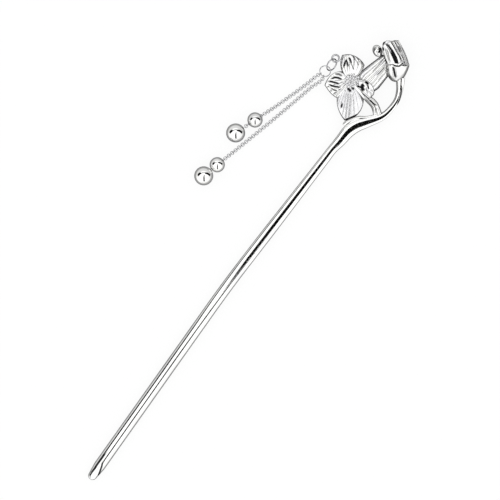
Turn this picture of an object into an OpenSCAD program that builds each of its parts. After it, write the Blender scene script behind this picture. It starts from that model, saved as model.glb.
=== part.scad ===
// Silver hair stick: a round shaft whose neck sweeps up into an open flower and a
// half open one, with two fine chains that end in beads. It lies flat, as on a table.
// The shaft runs along X with its tip at -X, and +Z is up. The origin is on the shaft's
// axis, at the upper end of its straight stretch.

/* [Shaft] */
// Diameter of the round shaft
shaft_d = 3.7; // [3.7:0.1:4]
// Straight stretch, from the tip to the gentle bend
straight_l = 65.6; // [50:0.2:80]
// Length of the gentle bend along its axis
bend_l = 19; // [12:1:26]
// Angle that the bend turns the shaft through
bend_angle = 2.4; // [1:0.2:4]
// Even stretch above the bend
even_l = 11.8; // [6:0.2:16]
// Tapered stretch below the neck
taper_l = 29.3; // [20:0.1:34]
// Diameter at the upper end of the taper
taper_d = 3; // [2.96:0.02:3.1]
// Radius of the round end of the tip
tip_r = 1.4; // [1.2:0.1:1.6]
// Length of the narrowing tip
tip_l = 5; // [4:0.5:8]
// Length of the flat that is ground on the tip's upper side
flat_l = 6; // [4:0.5:7]
// Slope of that flat
flat_slope = 11; // [8:1:12]

/* [Head] */
// Angle from the shaft to the photographed right of the flowers
head_turn = -54.7; // [-57:0.1:-52]
// Thickness of the whole head, which is the width of its cup
head_t = 7.5; // [7.2:0.1:7.8]
// Height of the open flower's middle above the shaft's axis
flower_z = 1.7; // [1.7:0.01:1.71]
// Thickness of the petals
petal_t = 0.9; // [0.89:0.01:0.9]
// Radius of the open flower's middle
middle_r = 3; // [2.95:0.05:3.1]
// Radius of the two stems between the flower and the neck
stem_r = 0.72; // [0.72:0.01:0.76]

/* [Half open flower] */
// Widest radius of the smooth cup
cup_r = 3.75; // [3.65:0.05:3.75]
// Height of the cup
cup_h = 4.9; // [4.5:0.1:5.2]
// Lean of the cup to the left
cup_lean = 8; // [8:1:12]
// Lean of its petals to the left
bud_lean = 21; // [18:1:22]
// Height of its petals above the cup's base
bud_h = 12.6; // [12.56:0.01:12.6]

/* [Rings and chains] */
// Inner wire radius of the soldered eye
eye_w = 0.28; // [0.27:0.01:0.3]
// Radius of the eye, to the middle of its wire
eye_r = 1.1; // [1.05:0.01:1.15]
// Radius of the tilted jump ring, to the middle of its wire
jump_r = 2; // [1.95:0.01:2.05]
// Wire radius of the jump ring
jump_w = 0.2; // [0.16:0.01:0.21]
// Radius of the ring that holds both chains, to the middle of its wire
holder_r = 1.7; // [1.66:0.01:1.74]
// Wire radius of that ring
holder_w = 0.15; // [0.13:0.01:0.16]
// Radius of a chain link, to the middle of its wire
link_r = 0.53; // [0.53:0.01:0.54]
// Wire radius of a chain link
link_w = 0.11; // [0.1:0.01:0.12]
// Clearance between neighbouring links
link_gap = 0.12; // [0.1:0.01:0.13]

/* [Beads] */
// Diameter of the small beads, which slide on the chains
small_d = 4.8; // [4.6:0.1:5]
// Diameter of the large beads, which end the chains
large_d = 6; // [5.8:0.1:6.2]
// Diameter of the hole through a small bead
hole_d = 1.6; // [1.6:0.05:1.8]

/* [Hidden] */
$fn = 48;

shaft_r = shaft_d / 2;
floor_z = -shaft_r;
// Distance from the open flower's middle at which its petals start
root_r = 1.2;
// Height of the ribs on the petals
rib_h = 0.3;
bend_r = bend_l / bend_angle * 180 / PI;

// Column names of the tables that follow
U = 0;
V = 1;
Z = 2;
R = 3;

// Neck, in the head's axes from the open flower's middle: u right, v up, height, radius.
// Its first row is where the shaft's taper ends.
NECK = [
    [-7.6, -24.4, 0.0, taper_d / 2],
    [-5.3, -22.0, 0.0, 1.45],
    [-3.0, -19.2, 0.0, 1.78],
    [-0.6, -16.2, 0.2, 2.02],
    [2.1, -14.4, 0.3, 1.98],
    [5.1, -13.3, 0.4, 1.75],
    [10.4, -11.3, 0.9, 1.14],
    [14.2, -7.3, 1.35, 0.95],
    [15.6, -3.5, 1.75, 1.0],
    [16.1, 0.6, 1.9, 1.4],
];

// Stems from the flower's middle to the neck: u, v, height, radius
LEFT_STEM = [[1.0, -1.2, 1.0, stem_r], [4.9, -5.9, 1.3, stem_r],
             [7.2, -8.5, 1.1, stem_r], [8.1, -11.8, 0.8, stem_r]];
RIGHT_STEM = [[1.5, -1.0, 0.5, stem_r], [5.4, -5.0, 1.0, stem_r],
              [8.1, -7.6, 1.0, stem_r], [9.5, -11.6, 0.9, stem_r]];
// Rolled edge that joins the lower petal to the neck
ROLL = [[-1.9, -13.6, 0.4, 0.7], [0.4, -12.6, 0.6, 0.9], [2.3, -11.6, 0.6, 0.8]];

// Petals of the open flower, as fans about its middle: direction of the tip, spread to
// its clockwise and its other side, length at the clockwise side, tip and other side,
// height of the root, tip and sides over the flower's middle, number of ribs, how much
// wider either side spreads at its root, and how late the outline leaves the tip
AIM = 0;
SPREAD = [1, 2];
TIP = 4;
END = [3, 5];
ROOT_Z = 6;
TIP_Z = 7;
SIDE_Z = 8;
RIBS = 9;
FLARE = [10, 11];
LATE = 12;
PETALS = [
    [93, 54, 20, 6.2, 8.1, 7.6, 0.25, -0.2, -0.6, 7, 0.4, 1.9, 1.25],
    [192, 58, 41, 3.8, 8.3, 6.6, 0.1, -0.6, -0.6, 8, 0.3, 0.3, 1],
    [262, 26, 44, 7.2, 12.9, 7.6, 0.0, -0.9, -0.5, 8, 0.4, 0.3, 1.5],
    [-32, 14, 30, 8.2, 8.9, 4.1, 0.4, 0.6, -0.5, 4, 0.3, 0.3, 1.25],
];

// Chains, in the head's axes: azimuth on the ring that holds them, places of the two
// beads, and how far the chain bows out to the left of its line
HOOK = 0;
SMALL = 1;
LARGE = 2;
BOW = 3;
SHORT = [207, [-30.0, -12.6], [-36.1, -16.7], 0.3];
LONG = [252, [-41.9, -26.7], [-46.15, -30.2], 0.3];

// Middle of the ring that holds the chains, its tilt and the azimuth where it is highest
HOLDER_AT = [-7.92, 2.77, 0.75];
holder_tilt = 12;
holder_up = 45;
// Middle of the jump ring, its lean on the photographed oval's long axis and its slope
JUMP_AT = [-5.86, 4.8, 1.05];
jump_turn = 65;
jump_lean = 51;
jump_slope = 12;
EYE_AT = [-4.64, 6.78, 1.2];

// Point between p1 and p2 on a smooth curve through four rows of a table
function between(p0, p1, p2, p3, t) =
    0.5 * (2 * p1 + (p2 - p0) * t + (2 * p0 - 5 * p1 + 4 * p2 - p3) * t * t
        + (3 * p1 - p0 - 3 * p2 + p3) * t * t * t);

// The rows of a table with n - 1 more rows between each two
function smooth(rows, n) = let (last = len(rows) - 1)
    [for (i = [0:last - 1], k = [0:n - 1])
        between(rows[max(i - 1, 0)], rows[i], rows[i + 1], rows[min(i + 2, last)], k / n),
     rows[last]];

function unit(v) = v / norm(v);
function place(row) = [row[U], row[V], row[Z]];

// Round section of a tube at one row, square to its run
function ring(row, run, sides) = let (side = unit(cross(run, [0, 0, 1])), up = cross(side, run))
    [for (k = [0:sides - 1]) let (a = 360 * k / sides)
        place(row) + row[R] * (cos(a) * side + sin(a) * up)];

// Closed solid through rings of n points each
module skin(rings, n) {
    last = len(rings) - 1;
    walls = [for (i = [0:last - 1], k = [0:n - 1])
        let (a = i * n + k, b = i * n + (k + 1) % n)
        each [[a, b, b + n], [a, b + n, a + n]]];
    ends = [for (e = [0, last], k = [0:n / 2 - 2])
        let (a = e * n + k, b = e * n + n - 1 - k)
        each (e == 0 ? [[a, b, b - 1], [a, b - 1, a + 1]] : [[a, b - 1, b], [a, a + 1, b - 1]])];
    polyhedron([for (ring = rings) each ring], concat(walls, ends));
}

// Tube through the rows of a table, with n steps between each two
module tube(rows, n, sides) {
    path = smooth(rows, n);
    last = len(path) - 1;
    skin([for (i = [0:last])
        ring(path[i], unit(place(path[min(i + 1, last)]) - place(path[max(i - 1, 0)])), sides)],
        sides);
}

// Solid between a front and a back surface, each a function of the way along and across
module plate(front, back, rows, columns) {
    skin([for (i = [0:rows]) concat(
        [for (j = [0:columns]) front(i / rows, 2 * j / columns - 1)],
        [for (j = [columns:-1:0]) back(i / rows, 2 * j / columns - 1)])],
        2 * (columns + 1));
}

// Height of the ribs across a petal, from -1 to 1: a high and a low line for each rib
function rib(across, ribs) = cos(180 * ribs * (across + 1));

// A petal's point: a fan about the flower's middle that is longest at its tip
function petal_point(p, along, across, drop) = let (
    side = across < 0 ? 0 : 1,
    angle = p[AIM] + p[SPREAD[side]] * across * (1 + p[FLARE[side]] * (1 - along)),
    edge = p[TIP] + (p[END[side]] - p[TIP]) * pow(abs(across), p[LATE]),
    reach = root_r + (edge - root_r) * along,
    ribs = rib_h / 2 * rib(across, p[RIBS]) * min(1, 1.6 * along) * (along > 0.95 ? 0.4 : 1),
    level = p[ROOT_Z] + (p[TIP_Z] - p[ROOT_Z]) * along * along + p[SIDE_Z] * across * across * along)
    [reach * cos(angle), reach * sin(angle), flower_z + level + ribs - drop];

module petal(p) {
    plate(function (s, t) petal_point(p, s, t, 0),
        function (s, t) petal_point(p, s, t, petal_t * (1 - 0.3 * s)),
        7, 2 * p[RIBS]);
}

// Ribbed blade that grows from behind the flower to the half open one
module blade() {
    root = [2.1, -5.3];
    run = [cos(50), sin(50)];
    side = [-run[1], run[0]];
    length = 13.9;
    function half(s) = 1.5 + 2.0 * sin(180 * min(1, 0.12 + 0.6 * s));
    function point(s, t, drop) = let (at = root + run * length * s + side * half(s) * t)
        [at[0], at[1], 0.95 + 0.3 * s - 0.5 * t * t + rib_h / 2 * rib(t, 7) - drop];
    plate(function (s, t) point(s, t, 0), function (s, t) point(s, t, 1), 7, 14);
}

// Open flower: four ribbed petals, the middle with its stamens and the rolled edge
module open_flower() {
    for (p = PETALS) petal(p);
    translate([0.4, 0, flower_z - 1]) scale([middle_r, middle_r - 0.4, 1.45]) sphere(1, $fn = 24);
    for (k = [0:6]) let (out = k == 6 ? 0 : 1.7)
        translate([0.9 + out * cos(60 * k + 20), 0.3 + out * 0.7 * sin(60 * k + 20), flower_z + 0.3])
            sphere(0.5, $fn = 10);
    tube(ROLL, 3, 10);
}

// Smooth round cup of the half open flower, with the seam between its two sepals
module cup() {
    profile = [[0, -0.6], [1.2, -0.3], [2.3, 0.5], [3.1, 1.6], [cup_r, 3.2],
               [cup_r - 0.05, cup_h - 0.3], [cup_r - 0.5, cup_h], [0, cup_h]];
    difference() {
        rotate([-90, 0, 0]) rotate_extrude($fn = 36) polygon(profile);
        translate([-0.15, 0.2, cup_r - 1.3]) cube([0.3, cup_h - 1.4, 2]);
    }
}

// One petal of the half open flower: direction round its axis from the front, and height
module bud_petal(aim, spread, height, out) {
    function point(s, t, wall) = let (
        angle = aim + spread * t,
        y = (height - 0.9 * t * t) * s,
        r = 2.95 + 0.7 * sin(min(90, 160 * s)) - 0.9 * s * s * s + out - 0.25 * t * t - wall
            + rib_h / 2 * rib(t, 5) * min(1, 4 * (1 - s) + 0.3))
        [r * sin(angle), y, r * cos(angle)];
    plate(function (s, t) point(s, -t, 0), function (s, t) point(s, -t, 1), 6, 10);
}

module half_open_flower() {
    translate([15.6, 0.2, floor_z + cup_r]) {
        rotate([0, 0, cup_lean]) cup();
        translate([-0.25, 4, 0]) rotate([0, 0, bud_lean]) {
            bud_petal(-58, 50, bud_h - 4.7, 0.2);
            bud_petal(48, 52, bud_h - 4.4, 0);
            bud_petal(150, 54, bud_h - 4.3, 0.2);
            bud_petal(-135, 32, bud_h - 3.4, -0.15);
        }
    }
    // Curled tip beside its left petal
    translate([8.9, 9.1, 1.9]) rotate([0, 0, 25]) scale([1.35, 1.9, 1.35]) sphere(1, $fn = 20);
}

// Eye soldered to the edge of the upper petal
module eye() {
    translate(EYE_AT) rotate_extrude($fn = 28) translate([eye_r, 0]) circle(eye_w, $fn = 10);
    tube([[-3.6, 6.4, 1.2, 0.3], [-3.0, 6.1, 1.2, 0.35], [-2.1, 5.8, 1.0, 0.35]], 1, 8);
}

// Where the neck starts, in the frame of the shaft
above_bend = even_l + taper_l;
NECK_AT = [bend_r * sin(bend_angle) + above_bend * cos(bend_angle),
           -bend_r * (1 - cos(bend_angle)) - above_bend * sin(bend_angle), 0];

// Places what is told in the head's axes
module in_head_axes() {
    translate(NECK_AT) rotate([0, 0, head_turn]) translate([-NECK[0][U], -NECK[0][V], 0]) children();
}

// A row of the shaft at x and y, in the head's axes
function shaft_row(x, y, r) = let (d = [x - NECK_AT[0], y - NECK_AT[1]])
    [NECK[0][U] + cos(head_turn) * d[0] + sin(head_turn) * d[1],
     NECK[0][V] - sin(head_turn) * d[0] + cos(head_turn) * d[1], 0, r];

// Shaft above its straight stretch: gentle bend, even stretch, taper and neck
module swept() {
    r = shaft_r - 0.01;
    even_end = NECK_AT - taper_l * [cos(bend_angle), -sin(bend_angle), 0];
    tube(concat(
        [shaft_row(-0.6, 0, r)],
        [for (k = [1:4]) let (a = bend_angle * k / 4)
            shaft_row(bend_r * sin(a), -bend_r * (1 - cos(a)), r)],
        [shaft_row(even_end[0], even_end[1], r)],
        smooth(NECK, 4)), 1, 28);
}

// Head with all that is cast or soldered to it
module head() {
    resize([0, 0, head_t]) {
        swept();
        open_flower();
        blade();
        tube(LEFT_STEM, 4, 10);
        tube(RIGHT_STEM, 4, 10);
        half_open_flower();
        eye();
    }
}

// Straight stretch of the shaft with its narrowing tip, on which the hair is wound
module shaft() {
    rotate([0, 90, 0]) difference() {
        translate([0, 0, -straight_l]) {
            translate([0, 0, tip_r]) sphere(tip_r);
            translate([0, 0, tip_r]) cylinder(h = tip_l - tip_r, r1 = tip_r, r2 = shaft_r);
            translate([0, 0, tip_l]) cylinder(h = straight_l - tip_l, r = shaft_r);
        }
        translate([-shaft_r, 0, flat_l - straight_l]) rotate([0, flat_slope, 0])
            translate([-shaft_d, -shaft_d, -2 * flat_l]) cube([shaft_d, 2 * shaft_d, 2 * flat_l]);
    }
}

module stick() {
    color("silver") {
        shaft();
        in_head_axes() head();
    }
}

// Round wire ring in its own plane
module wire_ring(r, w) {
    rotate_extrude() translate([r, 0]) circle(w, $fn = 24);
}

// Jump ring that leans between the eye and the ring of the chains
module jump_ring() {
    color("gainsboro") in_head_axes() translate(JUMP_AT)
        rotate([0, -jump_slope, jump_turn]) rotate([jump_lean, 0, 0]) wire_ring(jump_r, jump_w);
}

// Ring that holds both chains
module chain_ring() {
    color("gainsboro") in_head_axes() translate(HOLDER_AT)
        rotate([0, -holder_tilt, holder_up]) wire_ring(holder_r, holder_w);
}

// What both chains are made by: widest pitch of the links, height at which a chain's
// middle lies on the table, and distance from the ring's middle to the first link's
pitch = 2 * (link_r - link_w) - link_gap;
rest_z = floor_z + link_r + link_w;
hook_out = holder_r + (link_r - link_w - holder_w) / 2;
small_r = small_d / 2;
large_r = large_d / 2;
// Distances over which a chain comes down from its ring, and rises to its small bead
drop_l = 9;
// Distance over which it turns from the ring's radius into its own line
turn_l = 5;
rise_l = 6;
// How far the soldered link of a large bead stands out, to its middle
stand = 0.45;

// Soft step from 0 to 1
function ease(x) = let (c = min(1, max(0, x))) c * c * (3 - 2 * c);
function hook(c) = [HOLDER_AT[0], HOLDER_AT[1]] + hook_out * [cos(c[HOOK]), sin(c[HOOK])];
function hook_z(c) = HOLDER_AT[2] + holder_r * sin(holder_tilt) * cos(c[HOOK] - holder_up);
function reach(c) = norm(c[SMALL] - hook(c));
function small_at(c) = [c[SMALL][0], c[SMALL][1], floor_z + small_r];
function large_at(c) = [c[LARGE][0], c[LARGE][1], floor_z + large_r];

// Height of a chain at a distance from its hook: down to the table and up to the line
// through both beads' middles
function chain_z(c, d) = let (
    slope = (large_r - small_r) / norm(c[LARGE] - c[SMALL]),
    line = floor_z + small_r + slope * (d - reach(c)),
    hang = ease(1 - d / drop_l),
    lift = ease(1 - (reach(c) - small_r - 0.4 - d) / rise_l))
    rest_z + (hook_z(c) - rest_z) * hang + (line - rest_z) * lift;

// Point of a chain at a distance from its hook
function chain_point(c, d) = let (
    to_bead = unit(c[SMALL] - hook(c)),
    on = unit(c[LARGE] - c[SMALL]),
    way = min(1, d / reach(c)),
    off_ring = tan(c[HOOK] - atan2(to_bead[1], to_bead[0])) * d * pow(max(0, 1 - d / turn_l), 2),
    aside = c[BOW] * 4 * way * (1 - way) + off_ring,
    at = d < reach(c) ? hook(c) + to_bead * d + aside * [-to_bead[1], to_bead[0]]
        : c[SMALL] + on * (d - reach(c)))
    [at[0], at[1], chain_z(c, d)];

// How fast a chain runs along its curve at a distance, which its slope makes more than 1
function pace(c, d) = norm(chain_point(c, d + 0.05) - chain_point(c, d - 0.05)) / 0.1;

// Distance of the large bead's soldered link, and number of links up to it
function end_of(c) = let (flat = norm(c[LARGE] - c[SMALL]), whole = norm([flat, large_r - small_r]))
    reach(c) + flat * (1 - (large_r + stand) / whole);
function curve_length(c) = let (steps = 150, paces = [for (k = [0.5:steps]) pace(c, end_of(c) * k / steps)])
    paces * [for (p = paces) 1] * end_of(c) / steps;
function link_count(c) = ceil(curve_length(c) / pitch);

// Distances of the links' middles, which lie evenly along the curve
function stations(c, d, left) = left == 0 ? []
    : let (step = curve_length(c) / link_count(c))
        concat([d], stations(c, d + step / pace(c, d + step / 2), left - 1));

// One chain of links, each turned a quarter against the last
module chain(c) {
    marks = stations(c, 0, link_count(c));
    color("gainsboro") in_head_axes()
        for (k = [0:len(marks) - 1]) let (
            at = chain_point(c, marks[k]),
            run = unit(chain_point(c, marks[k] + 0.3) - chain_point(c, marks[k] - 0.3)))
            translate(at) rotate([0, -asin(run[2]), atan2(run[1], run[0])])
                rotate([k % 2 == 0 ? 90 : 0, 0, 0]) wire_ring(link_r, link_w);
}

// Turns X to the line through both beads
module along_beads(c, at) {
    run = unit(large_at(c) - small_at(c));
    in_head_axes() translate(at) rotate([0, -asin(run[2]), atan2(run[1], run[0])]) children();
}

module small_bead(c) {
    color("whitesmoke") along_beads(c, small_at(c)) rotate([0, 90, 0]) difference() {
        sphere(small_r);
        cylinder(h = small_d + 1, d = hole_d, center = true);
    }
}

// Large bead with the link that is soldered to it, turned a quarter against the last one
module large_bead(c) {
    color("whitesmoke") along_beads(c, large_at(c)) {
        sphere(large_r);
        translate([-large_r - stand, 0, 0]) rotate([link_count(c) % 2 == 0 ? 90 : 0, 0, 0])
            wire_ring(link_r, link_w);
    }
}

module short_chain() { chain(SHORT); }
module long_chain() { chain(LONG); }
module short_chain_small_bead() { small_bead(SHORT); }
module short_chain_large_bead() { large_bead(SHORT); }
module long_chain_small_bead() { small_bead(LONG); }
module long_chain_large_bead() { large_bead(LONG); }

stick();
jump_ring();
chain_ring();
short_chain();
long_chain();
short_chain_small_bead();
short_chain_large_bead();
long_chain_small_bead();
long_chain_large_bead();
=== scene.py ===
"""Looks of a polished silver hair stick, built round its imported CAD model.

Shapes are worked out in millimetres in the head's own axes, u to the photograph's right,
v up it and z towards the camera, with the open flower's middle at u = v = 0, or along the
shaft. They are put into the frame in metres as the last step.
"""

import logging
from dataclasses import dataclass, field
from enum import Enum

import bmesh
import bpy
import numpy as np
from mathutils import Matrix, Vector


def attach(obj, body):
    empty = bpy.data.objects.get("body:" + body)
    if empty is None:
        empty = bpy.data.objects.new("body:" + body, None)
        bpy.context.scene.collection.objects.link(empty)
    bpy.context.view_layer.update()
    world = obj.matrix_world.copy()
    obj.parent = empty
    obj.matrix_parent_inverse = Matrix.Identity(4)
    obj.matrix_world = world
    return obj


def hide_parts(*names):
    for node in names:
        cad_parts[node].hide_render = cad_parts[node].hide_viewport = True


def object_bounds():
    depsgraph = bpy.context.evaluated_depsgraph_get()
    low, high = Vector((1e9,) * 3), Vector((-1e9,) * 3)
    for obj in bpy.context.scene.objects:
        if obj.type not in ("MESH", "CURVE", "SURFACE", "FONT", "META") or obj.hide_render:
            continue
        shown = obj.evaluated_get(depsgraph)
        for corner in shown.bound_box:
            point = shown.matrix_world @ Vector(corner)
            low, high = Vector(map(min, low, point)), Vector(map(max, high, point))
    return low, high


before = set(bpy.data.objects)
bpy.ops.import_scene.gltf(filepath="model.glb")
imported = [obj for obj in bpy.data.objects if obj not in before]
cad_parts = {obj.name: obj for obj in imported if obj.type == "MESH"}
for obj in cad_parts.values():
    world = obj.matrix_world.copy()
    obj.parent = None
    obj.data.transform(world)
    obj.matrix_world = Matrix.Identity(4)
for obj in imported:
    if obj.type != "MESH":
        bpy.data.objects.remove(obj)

CAD_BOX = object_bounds()

LOG = logging.getLogger("hair_stick")
MM = 0.001
# Points of a piece that lie closer than this, in metres, become one
WELD = 2e-7
# Millimetres to a pixel of the photograph, and the pixel of the open flower's middle
PIXEL = 0.315
FLOWER_PIXEL = (350.0, 80.0)
# The head's axes are turned this far about Z, and so is the camera
HEAD_TURN = np.radians(-54.7)
# Where the neck starts, in the head's axes
NECK_START = np.array([-7.6, -24.4, 0.0])
# Height of the table, which the shaft and the beads lie on
FLOOR_Z = -1.85
UP = np.array([0.0, 0.0, 1.0])

Array = np.ndarray


# ---------------------------------------------------------------- small helpers


def linear(hex_colour: str) -> tuple[float, float, float, float]:
    """Turns an sRGB hex colour into linear red, green, blue and a full alpha.

    Args:
        hex_colour: six hex digits after a hash sign.

    Returns:
        The four linear values.
    """
    values = np.array([int(hex_colour[k : k + 2], 16) / 255 for k in (1, 3, 5)])
    low, high = values / 12.92, ((values + 0.055) / 1.055) ** 2.4
    red, green, blue = np.where(values <= 0.04045, low, high)
    return float(red), float(green), float(blue), 1.0


def add(
    tree: bpy.types.NodeTree,
    kind: str,
    settings: dict | None = None,
    links: dict | None = None,
) -> bpy.types.Node:
    """Adds a node, sets its sockets and properties, and links its inputs.

    Args:
        tree: the node tree that gets it.
        kind: Blender's name of the node's type.
        settings: value of each input socket or property, by name or number.
        links: output socket that feeds each input socket, by name or number.

    Returns:
        The new node.
    """
    made = tree.nodes.new(kind)
    for key, value in (settings or {}).items():
        if isinstance(key, int) or key in made.inputs:
            made.inputs[key].default_value = value
        else:
            setattr(made, key, value)
    for key, source in (links or {}).items():
        tree.links.new(source, made.inputs[key])
    return made


def blank_tree(owner: bpy.types.Material | bpy.types.World) -> bpy.types.NodeTree:
    """Switches on the nodes of a material or the world, and clears them.

    Args:
        owner: the material or world.

    Returns:
        Its empty node tree.
    """
    owner.use_nodes = True
    owner.node_tree.nodes.clear()
    return owner.node_tree


def put(name: str, data: bpy.types.Mesh | bpy.types.Camera) -> bpy.types.Object:
    """Makes an object of a mesh or camera, and links it to the scene.

    Args:
        name: the object's name.
        data: its mesh or camera.

    Returns:
        The new object.
    """
    made = bpy.data.objects.new(name, data)
    bpy.context.scene.collection.objects.link(made)
    return made


def from_photo(*pixels: tuple[float, float]) -> Array:
    """Turns places on the 500 pixel photograph into the head's u and v in millimetres."""
    return (np.array(pixels) - FLOWER_PIXEL) * (PIXEL, -PIXEL)


def to_frame(points: Array) -> Array:
    """Puts points of the head's axes into the frame, still in millimetres.

    Args:
        points: any array whose last axis is u, v and z.

    Returns:
        The turned and shifted points, in an array of the same shape.
    """
    c, s = np.cos(HEAD_TURN), np.sin(HEAD_TURN)
    turn = np.array([[c, s, 0.0], [-s, c, 0.0], [0.0, 0.0, 1.0]])
    return (points - NECK_START) @ turn + Shaft.neck_at()


def to_head(points: Array) -> Array:
    """Undoes to_frame: puts points of the frame into the head's axes.

    Args:
        points: any array whose last axis is x, y and z, in millimetres.

    Returns:
        The turned and shifted points, in an array of the same shape.
    """
    c, s = np.cos(HEAD_TURN), np.sin(HEAD_TURN)
    turn = np.array([[c, -s, 0.0], [s, c, 0.0], [0.0, 0.0, 1.0]])
    return (points - Shaft.neck_at()) @ turn + NECK_START


def smooth_rows(rows: Array, steps: int) -> Array:
    """Puts a smooth cubic curve through the rows of a table.

    Its run at each row is half the way from the row before to the row after.

    Args:
        rows: one row for each point, with as many columns as it needs.
        steps: new rows for each two old ones.

    Returns:
        The denser table, which ends in the last old row.
    """
    last = len(rows) - 1
    k = np.arange(last)
    p0, p1, p2, p3 = (
        rows[np.clip(k + shift, 0, last)][:, None, :] for shift in (-1, 0, 1, 2)
    )
    t = (np.arange(steps) / steps)[None, :, None]
    curve = 0.5 * (
        2 * p1
        + (p2 - p0) * t
        + (2 * p0 - 5 * p1 + 4 * p2 - p3) * t**2
        + (3 * p1 - p0 - 3 * p2 + p3) * t**3
    )
    return np.vstack([curve.reshape(-1, rows.shape[1]), rows[-1:]])


def edged(count: int) -> Array:
    """Numbers from -1 to 1 that crowd towards both ends, as a sine does."""
    return np.sin(np.pi / 2 * np.linspace(-1, 1, count))


def edged_share(count: int) -> Array:
    """A column of numbers from 0 to 1 that crowd towards both ends."""
    return (edged(count)[:, None] + 1) / 2


def circle(count: int) -> Array:
    """Evenly spaced angles once round a circle, in radians."""
    return 2 * np.pi * np.arange(count) / count


def unit(vectors: Array) -> Array:
    """Makes vectors one long, along the array's last axis."""
    return vectors / np.linalg.norm(vectors, axis=-1, keepdims=True)


def soft_step(x: Array) -> Array:
    """A step from 0 to 1 with level ends."""
    c = np.clip(x, 0, 1)
    return c * c * (3 - 2 * c)


# ---------------------------------------------------------------- surfaces


@dataclass
class Surface:
    """A grid of points that closes round its columns.

    Attributes:
        points: rows by columns by three, in millimetres.
        recess_and_shade: how dark each point is coloured, from 0 to 1: oxide deep in a groove, and
            painted shade on thin edges, upright sides and in hollows.
        closes_rows: whether the last row joins the first, as in a ring.
    """

    points: Array
    recess_and_shade: Array | None = None
    closes_rows: bool = False

    def faces(self) -> Array:
        """Works out the grid's faces: each joins a point, the next two and their diagonal.

        Returns:
            Four corner numbers for each face.
        """
        rows, columns = self.points.shape[:2]
        i, j = np.meshgrid(
            np.arange(rows if self.closes_rows else rows - 1),
            np.arange(columns),
            indexing="ij",
        )
        below, right = (i + 1) % rows, (j + 1) % columns
        corners = [i * columns + j, i * columns + right,
                   below * columns + right, below * columns + j]
        return np.stack([c.ravel() for c in corners], axis=1)

    def outward(self) -> Array:
        """Turns the faces so that the volume inside them is positive.

        The volume is the sum over all faces of their corners' triple products.

        Returns:
            Four corner numbers for each face.
        """
        faces = self.faces()
        a, b, c, d = (self.points.reshape(-1, 3)[faces[:, k]] for k in range(4))
        volume = np.sum(a * (np.cross(b, c) + np.cross(c, d)))
        return faces if volume > 0 else faces[:, ::-1]


@dataclass(frozen=True)
class Cut:
    """A line that is cut into a surface with a graver.

    Attributes:
        path: its places on the photograph, in pixels.
        width: half its width at the surface, in millimetres.
        depth: how deep it goes, in millimetres.
        dark: how much dark it holds, from 0 to 1: oxide in a deep cut, and painted shade where a
            shallow one stands for a shadow, a gap or a dark edge.
    """

    path: tuple[tuple[float, float], ...]
    width: float = 0.25
    depth: float = 0.2
    dark: float = 1.0


def engrave(u: Array, v: Array, cuts: tuple[Cut, ...]) -> tuple[Array, Array]:
    """Works out how far cuts lower a surface and how dark they leave it.

    Each cut is a bell curve of the distance to its line. Over the first and last quarter
    of the line it fades to about a third, and it is dark where the bell is over a fifth.

    Args:
        u: first coordinate of the surface's points.
        v: second coordinate of the points.
        cuts: the lines.

    Returns:
        The drop in millimetres and the recess from 0 to 1, both shaped as u is.
    """
    drop, recess_and_shade = np.zeros_like(u), np.zeros_like(u)
    for cut in cuts:
        line = from_photo(*cut.path)
        lengths = np.linalg.norm(np.diff(line, axis=0), axis=1)
        starts = np.concatenate([[0], np.cumsum(lengths)])
        nearest, along = np.full_like(u, np.inf), np.zeros_like(u)
        for a, b, start, length in zip(line[:-1], line[1:], starts[:-1], lengths):
            run = (b - a) / length
            t = np.clip((u - a[0]) * run[0] + (v - a[1]) * run[1], 0, length)
            distance = np.hypot(u - a[0] - run[0] * t, v - a[1] - run[1] * t)
            closer = distance < nearest
            nearest = np.where(closer, distance, nearest)
            along = np.where(closer, start + t, along)
        share = along / starts[-1]
        strength = 0.35 + 0.65 * soft_step(np.minimum(share, 1 - share) * 4)
        bell = strength * np.exp(-((nearest / cut.width) ** 2))
        drop = np.maximum(drop, cut.depth * bell)
        recess_and_shade = np.maximum(recess_and_shade, cut.dark * np.clip(bell * 2.4 - 0.5, 0, 1))
    return drop, recess_and_shade


def tube(
    rows: Array,
    sides: int,
    squareness: Array | float = 2.0,
    flatness: Array | float = 1.0,
    skew: Array | float = 0.0,
) -> Surface:
    """Carries a round or slightly squared section along a path.

    The section is a superellipse, |x|^n + |y|^n = r^n, square to the path, and both ends
    close to a point on the path.

    Args:
        rows: x, y, z and radius of each section.
        sides: points round each section.
        squareness: the power n of each row, 2 for a circle.
        flatness: height of each row's section as a share of its width.
        skew: how far right of the run each section's crest lies, as a share of its radius.

    Returns:
        The closed surface.
    """
    run = unit(np.gradient(rows[:, :3], axis=0))
    side = unit(np.cross(run, (0.0, 0.0, 1.0)))
    up = np.cross(side, run)
    angle = circle(sides)
    power = 2 / np.broadcast_to(squareness, len(rows))[:, None]
    across = np.sign(np.cos(angle)) * np.abs(np.cos(angle)) ** power
    height = np.sign(np.sin(angle)) * np.abs(np.sin(angle)) ** power
    across = across + np.broadcast_to(skew, len(rows))[:, None] * height
    radius = rows[:, 3][:, None, None]
    flat = np.broadcast_to(flatness, len(rows))[:, None, None]
    points = (
        rows[:, None, :3]
        + radius * across[:, :, None] * side[:, None]
        + radius * flat * height[:, :, None] * up[:, None]
    )
    first = np.broadcast_to(rows[0, :3], points[:1].shape)
    last = np.broadcast_to(rows[-1, :3], points[:1].shape)
    return Surface(np.concatenate([first, points, last]))


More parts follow.
